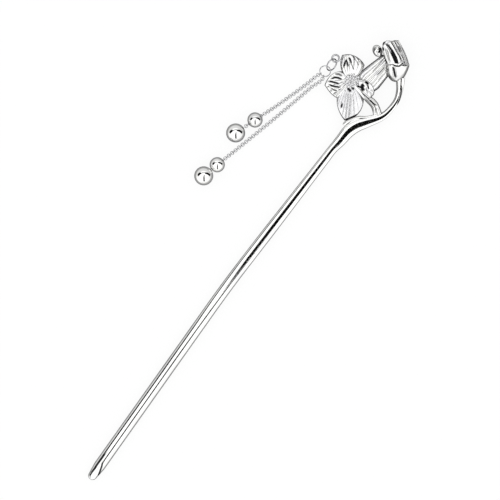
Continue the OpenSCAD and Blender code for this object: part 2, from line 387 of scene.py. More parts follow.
def leaf(
    middle: Array, half: Array, facing: Array, drop: Array, recess_and_shade: Array, rim: Array | float = 0.9
) -> Surface:
    """Gives a sheet its thickness, with edges that are round.

    The front is the middle plus half the thickness less the drop of its cuts, along the
    way it faces, and the back is the middle less half. Both meet where half is nought.
    The drop fades out where the sheet is thinner than six tenths of its thickness, and
    the painted shade along its edge ends where it is nearly full.

    Args:
        middle: rows by columns by three.
        half: half the thickness at each point, nought all round the edge.
        facing: the way the front faces, for the sheet or for each point.
        drop: how far cuts and ribs lower the front.
        recess_and_shade: how dark each point of the front is: oxide in its grooves and cuts, and
            painted shade where a cut stands for a shadow or a dark edge.
        rim: how dark the thin edge is painted, a painted shade that outlines the sheet.

    Returns:
        The closed surface.
    """
    full = half / half.max()
    front = middle + (half - drop * np.clip(full / 0.6, 0, 1))[..., None] * facing
    back = middle - half[..., None] * facing
    # Painted shade along the thin edge, on the front and the back
    edge = rim * (1 - soft_step((full - 0.82) / 0.17))
    return Surface(
        np.concatenate([front, back[:, ::-1]], axis=1),
        np.concatenate([np.maximum(recess_and_shade, edge), edge[:, ::-1]], axis=1),
    )


def half_sheet(thickness: float, across: Array, along: Array, sides: int, ends: int) -> Array:
    """Works out half the thickness of a sheet whose sides and ends are rounded.

    It is half the thickness times the roots of one less each way's size to a power.

    Args:
        thickness: the sheet's thickness.
        across: the way across, from -1 to 1.
        along: the way along, from 0 to 1.
        sides: the power for the sides, higher for squarer ones.
        ends: the power for both ends.

    Returns:
        The half thickness, nought at all edges.
    """
    return (thickness / 2 * np.sqrt(1 - np.abs(across) ** sides)
            * np.sqrt(1 - np.abs(2 * along - 1) ** ends))


def grooves(way: Array) -> Array:
    """Narrow grooves half way between whole numbers, with slightly crowned ribs between.

    Args:
        way: how many ribs lie before each point.

    Returns:
        One in the groove, nought on the crown, a bell curve with a low swell added.
    """
    size = np.abs(np.cos(np.pi * way))
    return 0.7 * np.exp(-((size / 0.3) ** 2)) + 0.3 * (1 - size)


def engraved(surface: Surface, cuts: tuple[Cut, ...], above: float) -> Surface:
    """Cuts lines into the upper side of a surface, and leaves them dark.

    Args:
        surface: the surface, in the head's axes.
        cuts: the lines.
        above: the height over which its points are cut.

    Returns:
        The same surface, changed.
    """
    points = surface.points
    top = points[..., 2] > above
    drop, dark = engrave(points[..., 0], points[..., 1], cuts)
    points[..., 2] -= np.where(top, drop, 0)
    before = np.zeros(points.shape[:2]) if surface.recess_and_shade is None else surface.recess_and_shade
    surface.recess_and_shade = np.maximum(before, np.where(top, dark, 0))
    return surface


def ring(radius: float, wire: float, around: int, sides: int) -> Array:
    """A round wire ring in its own plane, as a torus: a circle carried round a circle.

    Args:
        radius: the ring's radius, to the middle of its wire.
        wire: the wire's radius.
        around: points round the ring.
        sides: points round the wire.

    Returns:
        The grid, which closes both ways.
    """
    a, b = circle(around)[:, None], circle(sides)[None, :]
    out = radius + wire * np.cos(b)
    return np.stack([out * np.cos(a), out * np.sin(a), wire * np.sin(b) + 0 * a], axis=-1)


def ball(centre: Array, radii: Array, turn: float, rows: int, sides: int) -> Surface:
    """An ellipsoid whose poles lie up and down: a stretched ball in polar angles.

    Args:
        centre: its middle.
        radii: its half widths along x, y and z.
        turn: how far it is turned about its upright axis, in radians.
        rows: points from pole to pole.
        sides: points round it.

    Returns:
        The closed surface.
    """
    a = np.pi * np.linspace(0, 1, rows)[:, None]
    b = circle(sides)[None, :]
    shape = [np.sin(a) * np.cos(b), np.sin(a) * np.sin(b), np.cos(a) + 0 * b]
    x, y, z = (r * s for r, s in zip(radii, shape))
    c, s = np.cos(turn), np.sin(turn)
    return Surface(np.stack([c * x - s * y, s * x + c * y, z], axis=-1) + centre)


def turned(slope: float, heading: float, roll: float) -> Array:
    """Works out the matrix that rolls about X, then slopes about Y, then heads about Z.

    Args:
        slope: angle about Y, in degrees.
        heading: angle about Z.
        roll: angle about X.

    Returns:
        The three by three matrix.
    """
    (cr, sr), (cs, ss), (ch, sh) = (
        (np.cos(np.radians(a)), np.sin(np.radians(a))) for a in (roll, slope, heading)
    )
    about_x = np.array([[1, 0, 0], [0, cr, -sr], [0, sr, cr]])
    about_y = np.array([[cs, 0, ss], [0, 1, 0], [-ss, 0, cs]])
    about_z = np.array([[ch, -sh, 0], [sh, ch, 0], [0, 0, 1]])
    return about_z @ about_y @ about_x


def aimed(way: Array, roll: float = 0) -> Array:
    """Matrix that rolls about X, in degrees, and then turns X to a way of length one."""
    heading = float(np.degrees(np.arctan2(way[1], way[0])))
    return turned(-float(np.degrees(np.arcsin(way[2]))), heading, roll)


# ---------------------------------------------------------------- finishes


class Marks(Enum):
    """The way the marks of a finish run, as stretches along X, Y and Z."""

    LENGTHWISE = (0.04, 1.0, 1.0)
    EVERY_WAY = (1.0, 1.0, 1.0)
    BRUSHED_ACROSS = (1.0, 0.12, 1.0)


@dataclass(frozen=True)
class SilverFinish:
    """Sterling silver with the marks that its making left.

    Attributes:
        name: the material's name, for the metal and how it was made.
        bright: colour of the polished metal.
        hazed: colour where handling has dulled it a little.
        oxide_and_shade: colour that the polishing wheel leaves in grooves, and the colour of all
            painted shade.
        gloss: roughness of the polished metal.
        scratch: how much a polishing scratch adds to the roughness.
        spacing_mm: distance between polishing scratches.
        wave_mm: length of the soft waves that hand polishing leaves.
        wave_depth_mm: height of those waves.
        marks: the way the scratches run.
        painted_side_shade: how dark upright sides are painted, a painted shade that stands for the
            dark surroundings that such sides mirror.
        reach: how far a side has to face up or down to stay clear of that painted shade, from 0 to
            1.
        edge: tint of the silver's own reflection at a grazing angle.
        groove_rough: roughness that oxide adds in grooves.
        scratch_depth_mm: height of the scratches, which half shows.
    """

    name: str
    bright: str = "#F6F6F4"
    hazed: str = "#E4E4E4"
    oxide_and_shade: str = "#1B1B1D"
    gloss: float = 0.07
    scratch: float = 0.10
    spacing_mm: float = 0.35
    wave_mm: float = 3.0
    wave_depth_mm: float = 0.004
    marks: Marks = Marks.EVERY_WAY
    painted_side_shade: float = 0.0
    reach: float = 0.5
    edge: str = "#303032"
    groove_rough: float = 0.3
    scratch_depth_mm: float = 0.0006

    def material(self) -> bpy.types.Material:
        """Builds the material, or returns the one that this finish has already.

        Soft waves and fine scratches are bump, scratches and haze are roughness, and the
        colour darkens to oxide with the recess that each piece's mesh carries: oxide in
        the grooves, and painted shade on thin edges, upright sides and hollows.

        Returns:
            The material.
        """
        if self.name in bpy.data.materials:
            return bpy.data.materials[self.name]
        made = bpy.data.materials.new(self.name)
        tree = blank_tree(made)
        where = add(tree, "ShaderNodeTexCoord").outputs["Object"]
        run = add(tree, "ShaderNodeMapping", {"Scale": self.marks.value}, {"Vector": where})
        waves = add(tree, "ShaderNodeTexNoise",
                    {"Scale": 1 / (self.wave_mm * MM), "Detail": 1.5, "Roughness": 0.4},
                    {"Vector": where})
        scratches = add(tree, "ShaderNodeTexNoise",
                        {"Scale": 1 / (self.spacing_mm * MM), "Detail": 4.0, "Roughness": 0.7},
                        {"Vector": run.outputs["Vector"]})
        keen = add(tree, "ShaderNodeMapRange",
                   {"From Min": 0.5, "From Max": 0.75}, {"Value": scratches.outputs["Fac"]})
        haze = add(tree, "ShaderNodeMapRange",
                   {"From Min": 0.4, "From Max": 0.8}, {"Value": waves.outputs["Fac"]})
        recess_and_shade = add(tree, "ShaderNodeAttribute", {"attribute_name": "recess_and_shade"})
        metal = add(tree, "ShaderNodeMix",
                    {"data_type": "RGBA", 6: linear(self.bright), 7: linear(self.hazed)},
                    {0: haze.outputs["Result"]})
        # The dark colour is oxide in the grooves, and painted shade where the mesh marks edges,
        # upright sides and hollows
        colour = add(tree, "ShaderNodeMix",
                     {"data_type": "RGBA", 7: linear(self.oxide_and_shade)},
                     {0: recess_and_shade.outputs["Fac"], 6: metal.outputs[2]})
        worn = add(tree, "ShaderNodeMath",
                   {"operation": "MULTIPLY_ADD", 1: self.scratch, 2: self.gloss},
                   {0: keen.outputs["Result"]})
        rough = add(tree, "ShaderNodeMath",
                    {"operation": "MULTIPLY_ADD", 1: self.groove_rough},
                    {0: recess_and_shade.outputs["Fac"], 2: worn.outputs[0]})
        soft = add(tree, "ShaderNodeBump",
                   {"Strength": 1.0, "Distance": self.wave_depth_mm * MM},
                   {"Height": waves.outputs["Fac"]})
        fine = add(tree, "ShaderNodeBump",
                   {"Strength": 0.5, "Distance": self.scratch_depth_mm * MM},
                   {"Height": scratches.outputs["Fac"], "Normal": soft.outputs["Normal"]})
        shader = add(tree, "ShaderNodeBsdfPrincipled",
                     {"Metallic": 1.0, "Specular Tint": linear(self.edge)},
                     {"Base Color": colour.outputs[2], "Roughness": rough.outputs[0],
                      "Normal": fine.outputs["Normal"]})
        add(tree, "ShaderNodeOutputMaterial", None, {"Surface": shader.outputs["BSDF"]})
        return made


# Each finish below also says how much shade is painted onto its upright sides, standing for the
# dark surroundings that they mirror
# Drawn rod, buffed along its length: long faint lines in a mirror
DRAWN_ROD = SilverFinish("silver_drawn_and_buffed", gloss=0.05, scratch=0.08, spacing_mm=0.3,
                         wave_mm=9.0, wave_depth_mm=0.006, marks=Marks.LENGTHWISE,
                         painted_side_shade=0.15, reach=0.4, edge="#808084")
# Lost wax casting, wheel polished on its high places: a mirror with dark grooves, and painted
# shade on its upright sides
CAST = SilverFinish("silver_cast_and_wheel_polished", hazed="#DADADC", gloss=0.07, scratch=0.12,
                    spacing_mm=0.22, wave_mm=1.6, wave_depth_mm=0.002, painted_side_shade=0.75,
                    reach=0.6)
# The same casting as it leaves the tumbler, in petals too fine for the wheel: a soft mirror
CAST_SOFT = SilverFinish("silver_cast_and_tumbled", hazed="#E0E0E2", gloss=0.17, scratch=0.08,
                         spacing_mm=0.25, wave_mm=2.0, wave_depth_mm=0.001, painted_side_shade=0.75,
                         reach=0.45)
# Petals that were left satin between their ribs, which makes them greyer
CAST_SATIN = SilverFinish("silver_cast_and_satin_brushed", bright="#E8E8E9", hazed="#D6D6D8",
                          gloss=0.26, scratch=0.06, spacing_mm=0.3, wave_mm=2.5,
                          wave_depth_mm=0.001, marks=Marks.BRUSHED_ACROSS, painted_side_shade=0.55,
                          reach=0.4)
# The flower's middle, struck with a matting punch: soft, and pale down to its hollows
MATTED = SilverFinish("silver_cast_and_matted", bright="#F0F0F0", hazed="#DEDEE0", gloss=0.26,
                      scratch=0.1, spacing_mm=0.2, wave_mm=0.9, wave_depth_mm=0.004,
                      painted_side_shade=0.08, reach=0.35)
# The cup, raised from sheet over a stake and burnished: as smooth as the shaft
BURNISHED = SilverFinish("silver_raised_and_burnished", gloss=0.06, scratch=0.08,
                         spacing_mm=0.25, wave_mm=3.0, wave_depth_mm=0.003, painted_side_shade=0.3,
                         reach=0.4, edge="#606064")
# Drawn wire, bent and soldered, then tumbled with steel shot: an even skin, whose colours are a
# greyer copy of the silver and whose sides are dark nearly to the top, painted shade for the dark
# that thin wire mirrors
TUMBLED_WIRE = SilverFinish("silver_wire_tumbled_painted_grey", bright="#C8C8CA", hazed="#A4A4A8",
                            gloss=0.12, spacing_mm=0.15, wave_mm=0.8, wave_depth_mm=0.002,
                            painted_side_shade=1.0, reach=0.85)
# Hollow beads pressed from sheet and spun bright: the cleanest mirror on the piece
PRESSED_BEAD = SilverFinish("silver_pressed_and_spun_bright", gloss=0.045, scratch=0.06,
                            spacing_mm=0.3, wave_mm=4.0, wave_depth_mm=0.003,
                            edge="#A0A0A4")


# ---------------------------------------------------------------- pieces


def paint_side_shade(mesh: bpy.types.Mesh, finish: SilverFinish) -> None:
    """Raises the recess where a surface stands upright: a painted shade that stands for the dark
    surroundings that such sides mirror.

    Args:
        mesh: the piece, with its recess.
        finish: its silver, which says how dark and how far.
    """
    count = len(mesh.vertices)
    normals, recess_and_shade = np.zeros(count * 3, np.float32), np.zeros(count, np.float32)
    mesh.vertex_normals.foreach_get("vector", normals)
    layer = mesh.attributes["recess_and_shade"]
    layer.data.foreach_get("value", recess_and_shade)
    # Painted shade on upright sides, fading out where they face up or down
    side = finish.painted_side_shade * (1 - soft_step(np.abs(normals[2::3]) / finish.reach))
    layer.data.foreach_set("value", np.maximum(recess_and_shade, side).astype(np.float32))


def make_piece(
    name: str,
    surfaces: list[Surface],
    finish: SilverFinish,
    node: str = "stick",
    in_head: bool = True,
) -> None:
    """Makes one piece from its surfaces, and hooks it to the CAD frame.

    Args:
        name: the piece's name.
        surfaces: closed grids, in millimetres.
        finish: its silver.
        node: the CAD node that it stands for.
        in_head: whether the points are in the head's axes and not in the frame.
    """
    points, faces, recess_and_shade, start = [], [], [], 0
    for surface in surfaces:
        flat = surface.points.reshape(-1, 3)
        points.append(to_frame(flat) if in_head else flat)
        faces.append(surface.outward() + start)
        depth = surface.recess_and_shade
        recess_and_shade.append(np.zeros(len(flat)) if depth is None else depth.ravel())
        start += len(flat)
    mesh = bpy.data.meshes.new(name)
    mesh.from_pydata((np.vstack(points) * MM).tolist(), [], np.vstack(faces).tolist())
    layer = mesh.attributes.new("recess_and_shade", "FLOAT", "POINT")
    layer.data.foreach_set("value", np.concatenate(recess_and_shade).astype(np.float32))
    shell = bmesh.new()
    shell.from_mesh(mesh)
    bmesh.ops.remove_doubles(shell, verts=shell.verts, dist=WELD)
    bmesh.ops.dissolve_degenerate(shell, edges=shell.edges, dist=WELD / 20)
    shell.to_mesh(mesh)
    shell.free()
    mesh.shade_smooth()
    # Paints shade onto the sides that stand upright
    paint_side_shade(mesh, finish)
    mesh.materials.append(finish.material())
    made = put(name, mesh)
    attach(made, "root")
    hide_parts(node)
    LOG.info("%s: %d faces, %s", name, len(mesh.polygons), finish.name)


@dataclass
class Shaft:
    """The round shaft in one sweep: ground tip, straight, bend, taper and neck.

    Attributes:
        radius: half its thickness.
        straight: length of the straight stretch, with the tip.
        bend: length of the gentle bend.
        bend_angle: how far it bends, in degrees.
        even: length above the bend that keeps the full radius.
        taper: length over which it then narrows.
        tip_radius: radius of the round end.
        tip_length: length over which the tip widens to the full radius.
        flat_length: length of the flat ground on the tip.
        flat_slope: slope of the flat, in degrees.
        neck: u, v, height, radius, flatness, squareness and skew along the neck.
        lines: dark lines painted at the flat's edges and beside the cup, standing for dark
            reflections; they lower nothing.
        step: distance between sections on the tip.
    """

    radius: float = 1.85
    straight: float = 65.6
    bend: float = 19.0
    bend_angle: float = 2.4
    even: float = 11.8
    taper: float = 29.3
    tip_radius: float = 1.4
    tip_length: float = 5.0
    flat_length: float = 6.0
    flat_slope: float = 11.0
    step: float = 0.07
    neck: tuple = (
        (-7.6, -24.4, 0.0, 1.5, 1.0, 3.3, 0.0), (-5.57, -21.77, 0.05, 1.47, 0.97, 3.4, 0.0),
        (-3.1, -19.1, 0.05, 1.76, 0.9, 3.6, 0.0), (-0.6, -16.2, 0.08, 1.99, 0.86, 3.7, 0.0),
        (2.1, -14.4, 0.2, 1.95, 0.86, 3.9, 0.0), (5.1, -13.3, 0.4, 1.73, 0.87, 4.1, 0.05),
        (10.4, -11.3, 0.93, 1.05, 0.92, 4.1, 0.15), (14.15, -7.2, 1.3, 0.84, 0.96, 3.6, 0.28),
        (15.45, -3.5, 1.58, 0.95, 0.96, 3.0, 0.32), (15.75, 0.6, 1.7, 1.35, 1.0, 2.6, 0.32),
    )
    lines: tuple[Cut, ...] = (
        # Painted reflections: these lines only colour the metal, and their depth is not used
        Cut(((107, 451), (98.2, 463), (93.5, 469.5), (89, 475)), 0.3),
        Cut(((103, 460), (101.6, 466), (99.5, 472), (97, 479)), 0.3),
        Cut(((400.4, 82.8), (401.4, 88.5), (400.7, 94), (399, 100), (396, 106.5)), 0.22),
    )

    @staticmethod
    def neck_at() -> Array:
        """Works out where the taper ends and the neck starts.

        Returns:
            The place in the frame: the end of the bend's arc plus the straight above it.
        """
        angle = np.radians(Shaft.bend_angle)
        bend_radius = Shaft.bend / angle
        beyond = Shaft.even + Shaft.taper
        return np.array([
            bend_radius * np.sin(angle) + beyond * np.cos(angle),
            -bend_radius * (1 - np.cos(angle)) - beyond * np.sin(angle),
            0.0,
        ])

    def rows(self) -> tuple[Array, Array, Array, Array]:
        """The sweep's path and radii, and how squared, flat and skew each section is.

        The tip is a quarter circle and a cone, the bend an arc, and the neck a smooth
        curve through its table.

        Returns:
            Rows of x, y, z and radius, and the squareness, flatness and skew of each.
        """
        turn = np.radians(np.linspace(2, 90, 22))
        end = np.stack([-self.straight + self.tip_radius * (1 - np.cos(turn)),
                        self.tip_radius * np.sin(turn)], axis=1)
        cone_x = np.arange(self.tip_radius + self.step, self.tip_length, self.step)
        share = (cone_x - self.tip_radius) / (self.tip_length - self.tip_radius)
        cone = np.stack([cone_x - self.straight,
                         self.tip_radius + (self.radius - self.tip_radius) * share], axis=1)
        fine = np.arange(self.tip_length, self.flat_length + 0.4, self.step) - self.straight
        rest = np.linspace(self.flat_length + 0.5 - self.straight, 0, 50)
        even_x = np.concatenate([fine, rest])
        level = np.stack([even_x, np.full_like(even_x, self.radius)], axis=1)
        straight = np.concatenate([end, cone, level])
        straight = np.insert(straight, [1, 1], 0.0, axis=1)
        arc = np.radians(np.linspace(0, self.bend_angle, 25))[1:]
        bend_radius = self.bend / np.radians(self.bend_angle)
        bent = np.stack([bend_radius * np.sin(arc), -bend_radius * (1 - np.cos(arc)),
                         0 * arc, 0 * arc + self.radius], axis=1)
        out = np.array([np.cos(arc[-1]), -np.sin(arc[-1]), 0.0])
        above = np.concatenate([np.linspace(0, self.even, 9)[1:],
                                self.even + np.linspace(0, self.taper, 31)[1:-1]])
        narrowing = np.clip((above - self.even) / self.taper, 0, 1)
        slim = self.radius + (self.neck[0][3] - self.radius) * narrowing
        upper = np.concatenate([bent[-1, :3] + above[:, None] * out, slim[:, None]], axis=1)
        neck = smooth_rows(np.array(self.neck), 22)
        swept = np.concatenate([to_frame(neck[:, :3]), neck[:, 3:4]], axis=1)
        rows = np.concatenate([straight, bent, upper, swept])
        squareness = np.concatenate([
            np.interp(straight[:, 0], (-25, -6, 0), (2.1, 2.3, 2.6)),
            np.linspace(2.6, 3.3, len(bent)),
            np.full(len(upper), 3.3), neck[:, 5],
        ])
        before = len(rows) - len(neck)
        flatness = np.concatenate([np.ones(before), neck[:, 4]])
        skew = np.concatenate([np.zeros(before), neck[:, 6]])
        return rows, squareness, flatness, skew

    def build(self) -> None:
        """Sweeps the shaft and grinds the flat on its tip.

        The flat is a slope that lowers every point above it, dished a little across, and
        its two long edges and a line on the neck beside the cup are painted dark, as reflections.
        """
        rows, squareness, flatness, skew = self.rows()
        surface = tube(rows, 96, squareness, flatness, skew)
        points = surface.points
        x, y, z = points[..., 0], points[..., 1], points[..., 2]
        from_tip = x + self.straight
        slope = np.tan(np.radians(self.flat_slope))
        level = self.radius - (self.flat_length - from_tip) * slope
        ground = (z > level) & (from_tip < self.flat_length)
        section = np.interp(from_tip, rows[:, 0] + self.straight, rows[:, 3])
        half = np.sqrt(np.clip(section**2 - np.minimum(level, section) ** 2, 1e-6, None))
        across = np.clip(np.abs(y) / half, 0, 1)
        dish = 0.16 * (1 - across**2) * soft_step((self.flat_length - from_tip) / 2)
        points[..., 2] = np.where(ground, level - dish, z)
        head = to_head(points)
        # Only the dark of the lines is used: painted reflections, not cuts
        _, dark = engrave(head[..., 0], head[..., 1], self.lines)
        surface.recess_and_shade = np.where(points[..., 2] > 0.3, dark, 0.0)
        make_piece("shaft_and_neck", [surface], DRAWN_ROD, in_head=False)


@dataclass
class Petal:
    """One ribbed petal of the open flower, a fan about the flower's middle.

    Pairs give the clockwise side first.

    Attributes:
        name: the piece's name.
        aim: direction of its middle, in degrees anticlockwise from the photograph's right.
        spread: degrees from the middle to each side.
        ends: how far each corner reaches from the flower's middle.
        tip: how far the middle of its edge reaches.
        heights: height of its root, its tip and its sides over the flower's height.
        ribs: how many ribs fan over it.
        flare: how much more each side spreads at the root, as a share.
        late: power by which the edge bends to each corner, higher for a later bend.
        finish: its silver.
        rib_height: how deep the grooves between the ribs are.
        shade: how dark those grooves are.
        sides: how dark each side edge is painted, as shade along it.
        tuck: how far the anticlockwise side dips under the next petal.
        thickness: its thickness.
        cuts: lines cut into it.
        flower_z: the flower's height over the shaft's axis.
        root: where it starts, from the flower's middle.
    """

    name: str
    aim: float
    spread: tuple[float, float]
    ends: tuple[float, float]
    tip: float
    heights: tuple[float, float, float]
    ribs: int
    flare: tuple[float, float]
    late: tuple[float, float]
    finish: SilverFinish = CAST_SOFT
    rib_height: float = 0.16
    shade: float = 0.5
    sides: tuple[float, float] = (0.9, 0.9)
    tuck: float = 0.0
    thickness: float = 0.9
    cuts: tuple[Cut, ...] = ()
    flower_z: float = 1.7
    root: float = 1.2

    def surface(self) -> Surface:
        """The petal as a leaf.

        A point's angle is the aim plus the spread times the way across, its reach runs
        from the root to an outline that is longest at the tip, and its height sinks with
        the square of both ways. Its anticlockwise side may tuck under the next petal.

        Returns:
            The closed surface.
        """
        s = edged_share(61)
        t = edged(181)[None, :]
        clockwise = t < 0
        spread = np.where(clockwise, *self.spread)
        flare = np.where(clockwise, *self.flare)
        ends = np.where(clockwise, *self.ends)
        late = np.where(clockwise, *self.late)
        angle = np.radians(self.aim + spread * t * (1 + flare * (1 - s)))
        edge = self.tip + (ends - self.tip) * np.abs(t) ** late
        reach = self.root + (edge - self.root) * s
        root_z, tip_z, side_z = self.heights
        level = root_z + (tip_z - root_z) * s**2 + side_z * t**2 * s
        level = level - self.tuck * soft_step((t - 0.7) / 0.3)
        u, v = reach * np.cos(angle), reach * np.sin(angle)
        middle = np.stack([u, v, self.flower_z + level - self.thickness / 2], axis=-1)
        half = half_sheet(self.thickness, t, s, 14, 24)
        groove = grooves(self.ribs * (t + 1) / 2)
        shown = np.minimum(1, 1.8 * s) * (1 - soft_step((s - 0.9) * 12) * 0.7)
        ribbed = self.rib_height * groove * shown
        cut, dark = engrave(u, v, self.cuts)
        grooved = self.shade * groove**3 * shown
        # How dark the painted shade along each edge is
        rim = np.where((np.abs(t) > 0.9) & (s < 0.95), np.where(clockwise, *self.sides), 0.9)
        return leaf(middle, half, UP, ribbed + cut,
                    np.maximum(grooved, dark), rim)

    def build(self) -> None:
        """Makes the petal."""
        make_piece(self.name, [self.surface()], self.finish)


@dataclass
class OpenFlower:
    """Four ribbed petals, the middle with its stamens and the rolled edge.

    Attributes:
        petals: the petals, from the top one anticlockwise.
        rolled_edge: u, v, height and radius along the edge under the lower petal.
        dome_at: middle of the dome.
        dome_radii: half widths of the dome.
        grains: how many grains lie on it.
    """

    petals: list[Petal] = field(default_factory=lambda: [
        Petal("upper_petal", 93, (47, 15), (6.5, 8.25), 8.1, (0.25, -0.2, -0.6), 7,
              (0.5, 2.8), (1.15, 1.0), shade=0.28, sides=(0.3, 0.9), cuts=(
                  Cut(((346.2, 59), (344.8, 62.5), (342.8, 67.5)), 0.27, 0.28),
                  Cut(((345.6, 59.6), (347, 62.5), (348, 67)), 0.24, 0.24),
                  Cut(((349, 57.2), (350.1, 60), (351.2, 63.8)), 0.27, 0.24),
                  Cut(((351, 63), (352.5, 67), (354, 70.5)), 0.13, 0.1, 0.6),
                  Cut(((353, 55.8), (355.8, 60.5)), 0.17, 0.14, 0.7),
                  Cut(((356.8, 61), (358.6, 66)), 0.12, 0.1, 0.4),
              )),
        Petal("left_petal", 192, (58, 50), (3.8, 7.0), 8.3, (0.15, -0.45, -0.45), 8,
              (0.3, 0.3), (1.0, 0.6), shade=0.3, sides=(0.9, 0.2), tuck=0.6, cuts=(
                  Cut(((342, 76.4), (338.5, 74.2), (334.5, 74.2)), 0.34, 0.2, 0.7),
                  Cut(((342.5, 79.8), (338, 78), (334.5, 77.5), (330, 79.2)), 0.3, 0.26),
                  Cut(((339.5, 84), (335, 82.8), (331.5, 81.8), (328, 81.2)), 0.32, 0.26),
                  Cut(((340.5, 87.4), (334.5, 86.7), (331, 85.6), (328, 84.2)), 0.3, 0.24),
                  Cut(((337.5, 91.2), (334, 90.2), (330.5, 88)), 0.22, 0.2, 0.9),
              )),
        Petal("lower_petal", 262, (36, 44), (5.6, 7.2), 12.9, (-0.15, -0.9, -0.5), 10,
              (0.5, 0.3), (1.0, 1.5), finish=CAST_SATIN, rib_height=0.045, shade=0.11,
              sides=(0.2, 0.9), cuts=(
                  Cut(((340.7, 108), (342, 103)), 0.28, 0.2),
                  # The next two also hold painted shade, where the gap under the flower's middle
                  # lies in shadow
                  Cut(((347, 87.6), (351, 91.9)), 0.4, 0.3),
                  Cut(((351, 86.4), (353.8, 89.6)), 0.34, 0.25),
                  Cut(((343.5, 120.2), (350, 117.9), (358.5, 114.2)), 0.24, 0.2),
                  Cut(((343, 85), (344, 89), (345.5, 92.5)), 0.14, 0.1, 0.6),
              )),
        Petal("right_petal", -32, (14, 32), (8.4, 4.6), 8.7, (0.4, 0.6, -0.5), 3,
              (0.3, 0.3), (1.25, 1.6), shade=0.3, cuts=(
                  # The next two also hold painted shade, where the petal lies in shadow under the
                  # flower's middle
                  Cut(((362.8, 83.4), (361.6, 87), (363, 91.5)), 0.6, 0.5),
                  Cut(((356.5, 86.3), (361, 87.4)), 0.3, 0.3),
                  Cut(((364.4, 81.4), (367, 83.2), (367.8, 85)), 0.42, 0.35),
                  Cut(((367.4, 84.5), (368.4, 89.5)), 0.22, 0.2),
                  Cut(((366, 88), (367.5, 94)), 0.16, 0.14, 0.5),
              )),
    ])
    rolled_edge: tuple = (
        (-1.9, -14.3, 0.6, 0.5), (-1.5, -13.8, 0.7, 0.75), (0.0, -13.1, 0.9, 0.85),
        (2.5, -12.1, 1.0, 0.72), (5.0, -11.9, 1.25, 0.5), (7.6, -11.3, 1.3, 0.42),
        (9.5, -10.8, 1.2, 0.3),
    )
    dome_at: tuple[float, float, float] = (0.4, 0.0, 0.75)
    dome_radii: tuple[float, float, float] = (3.0, 2.6, 1.35)
    grains: int = 32

    def middle(self) -> list[Surface]:
        """The dome of the middle with grains on it, in the spiral that seeds grow in.

        Each grain turns 137.5 degrees on from the last one, and its distance grows with
        the square root of its number.

        Returns:
            The dome and its grains.
        """
        right, _, base = self.dome_at
        dome = ball(np.array(self.dome_at), np.array(self.dome_radii), 0.0, 40, 96)
        k = np.arange(self.grains)
        turn, out = np.radians(137.5) * k, np.sqrt((k + 0.5) / self.grains)
        sizes = 0.44 + 0.12 * np.sin(2.3 * k)
        spots = np.stack([right + 2.75 * out * np.cos(turn), 2.35 * out * np.sin(turn),
                          base + 1.38 * np.sqrt(1 - (0.93 * out) ** 2)], axis=1)
        grains = [ball(spot, np.array([size, size * 0.85, size * 0.8]), a, 9, 14)
                  for spot, size, a in zip(spots, sizes, turn)]
        u, v, height = np.moveaxis(dome.points, -1, 0)
        # A light painted shade on the dome's top, where it shows between the grains
        dome.recess_and_shade = np.where(height > base, 0.1, 0.0) * (np.hypot(u - right, v) < 2.9)
        return [dome, *grains]

    def stamens(self) -> list[Surface]:
        """Six stamens that curl out over the grains, each a thin tube with a round end.

        Each goes out from the middle by a distance along its direction and a swing to its
        side.

        Returns:
            The tubes and their ends.
        """
        made = []
        for k in range(6):
            turn = np.radians(60 * k + 20)
            out = np.array([np.cos(turn), 0.75 * np.sin(turn)])
            side = np.array([-out[1], out[0]])
            root, bend, end = (
                np.array(start) + far * out + swing * side for start, far, swing in (
                    ((0.7, 0.1), 0.4, 0.0), ((0.7, 0.1), 1.2, 0.3), ((0.8, 0.2), 1.9, 0.1))
            )
            table = np.array([(*root, 1.9, 0.16), (*bend, 2.25, 0.16), (*end, 2.15, 0.18)])
            made.append(tube(smooth_rows(table, 8), 12))
            made.append(ball(table[-1, :3], np.array([0.46, 0.38, 0.36]), turn, 13, 18))
        return made

    def build(self) -> None:
        """Makes the petals, the middle and the rolled edge."""
        for petal in self.petals:
            petal.build()
        make_piece("flower_middle", self.middle(), MATTED)
        make_piece("stamens", self.stamens(), MATTED)
        edge = tube(smooth_rows(np.array(self.rolled_edge), 12), 24)
        make_piece("rolled_edge", [edge], CAST)


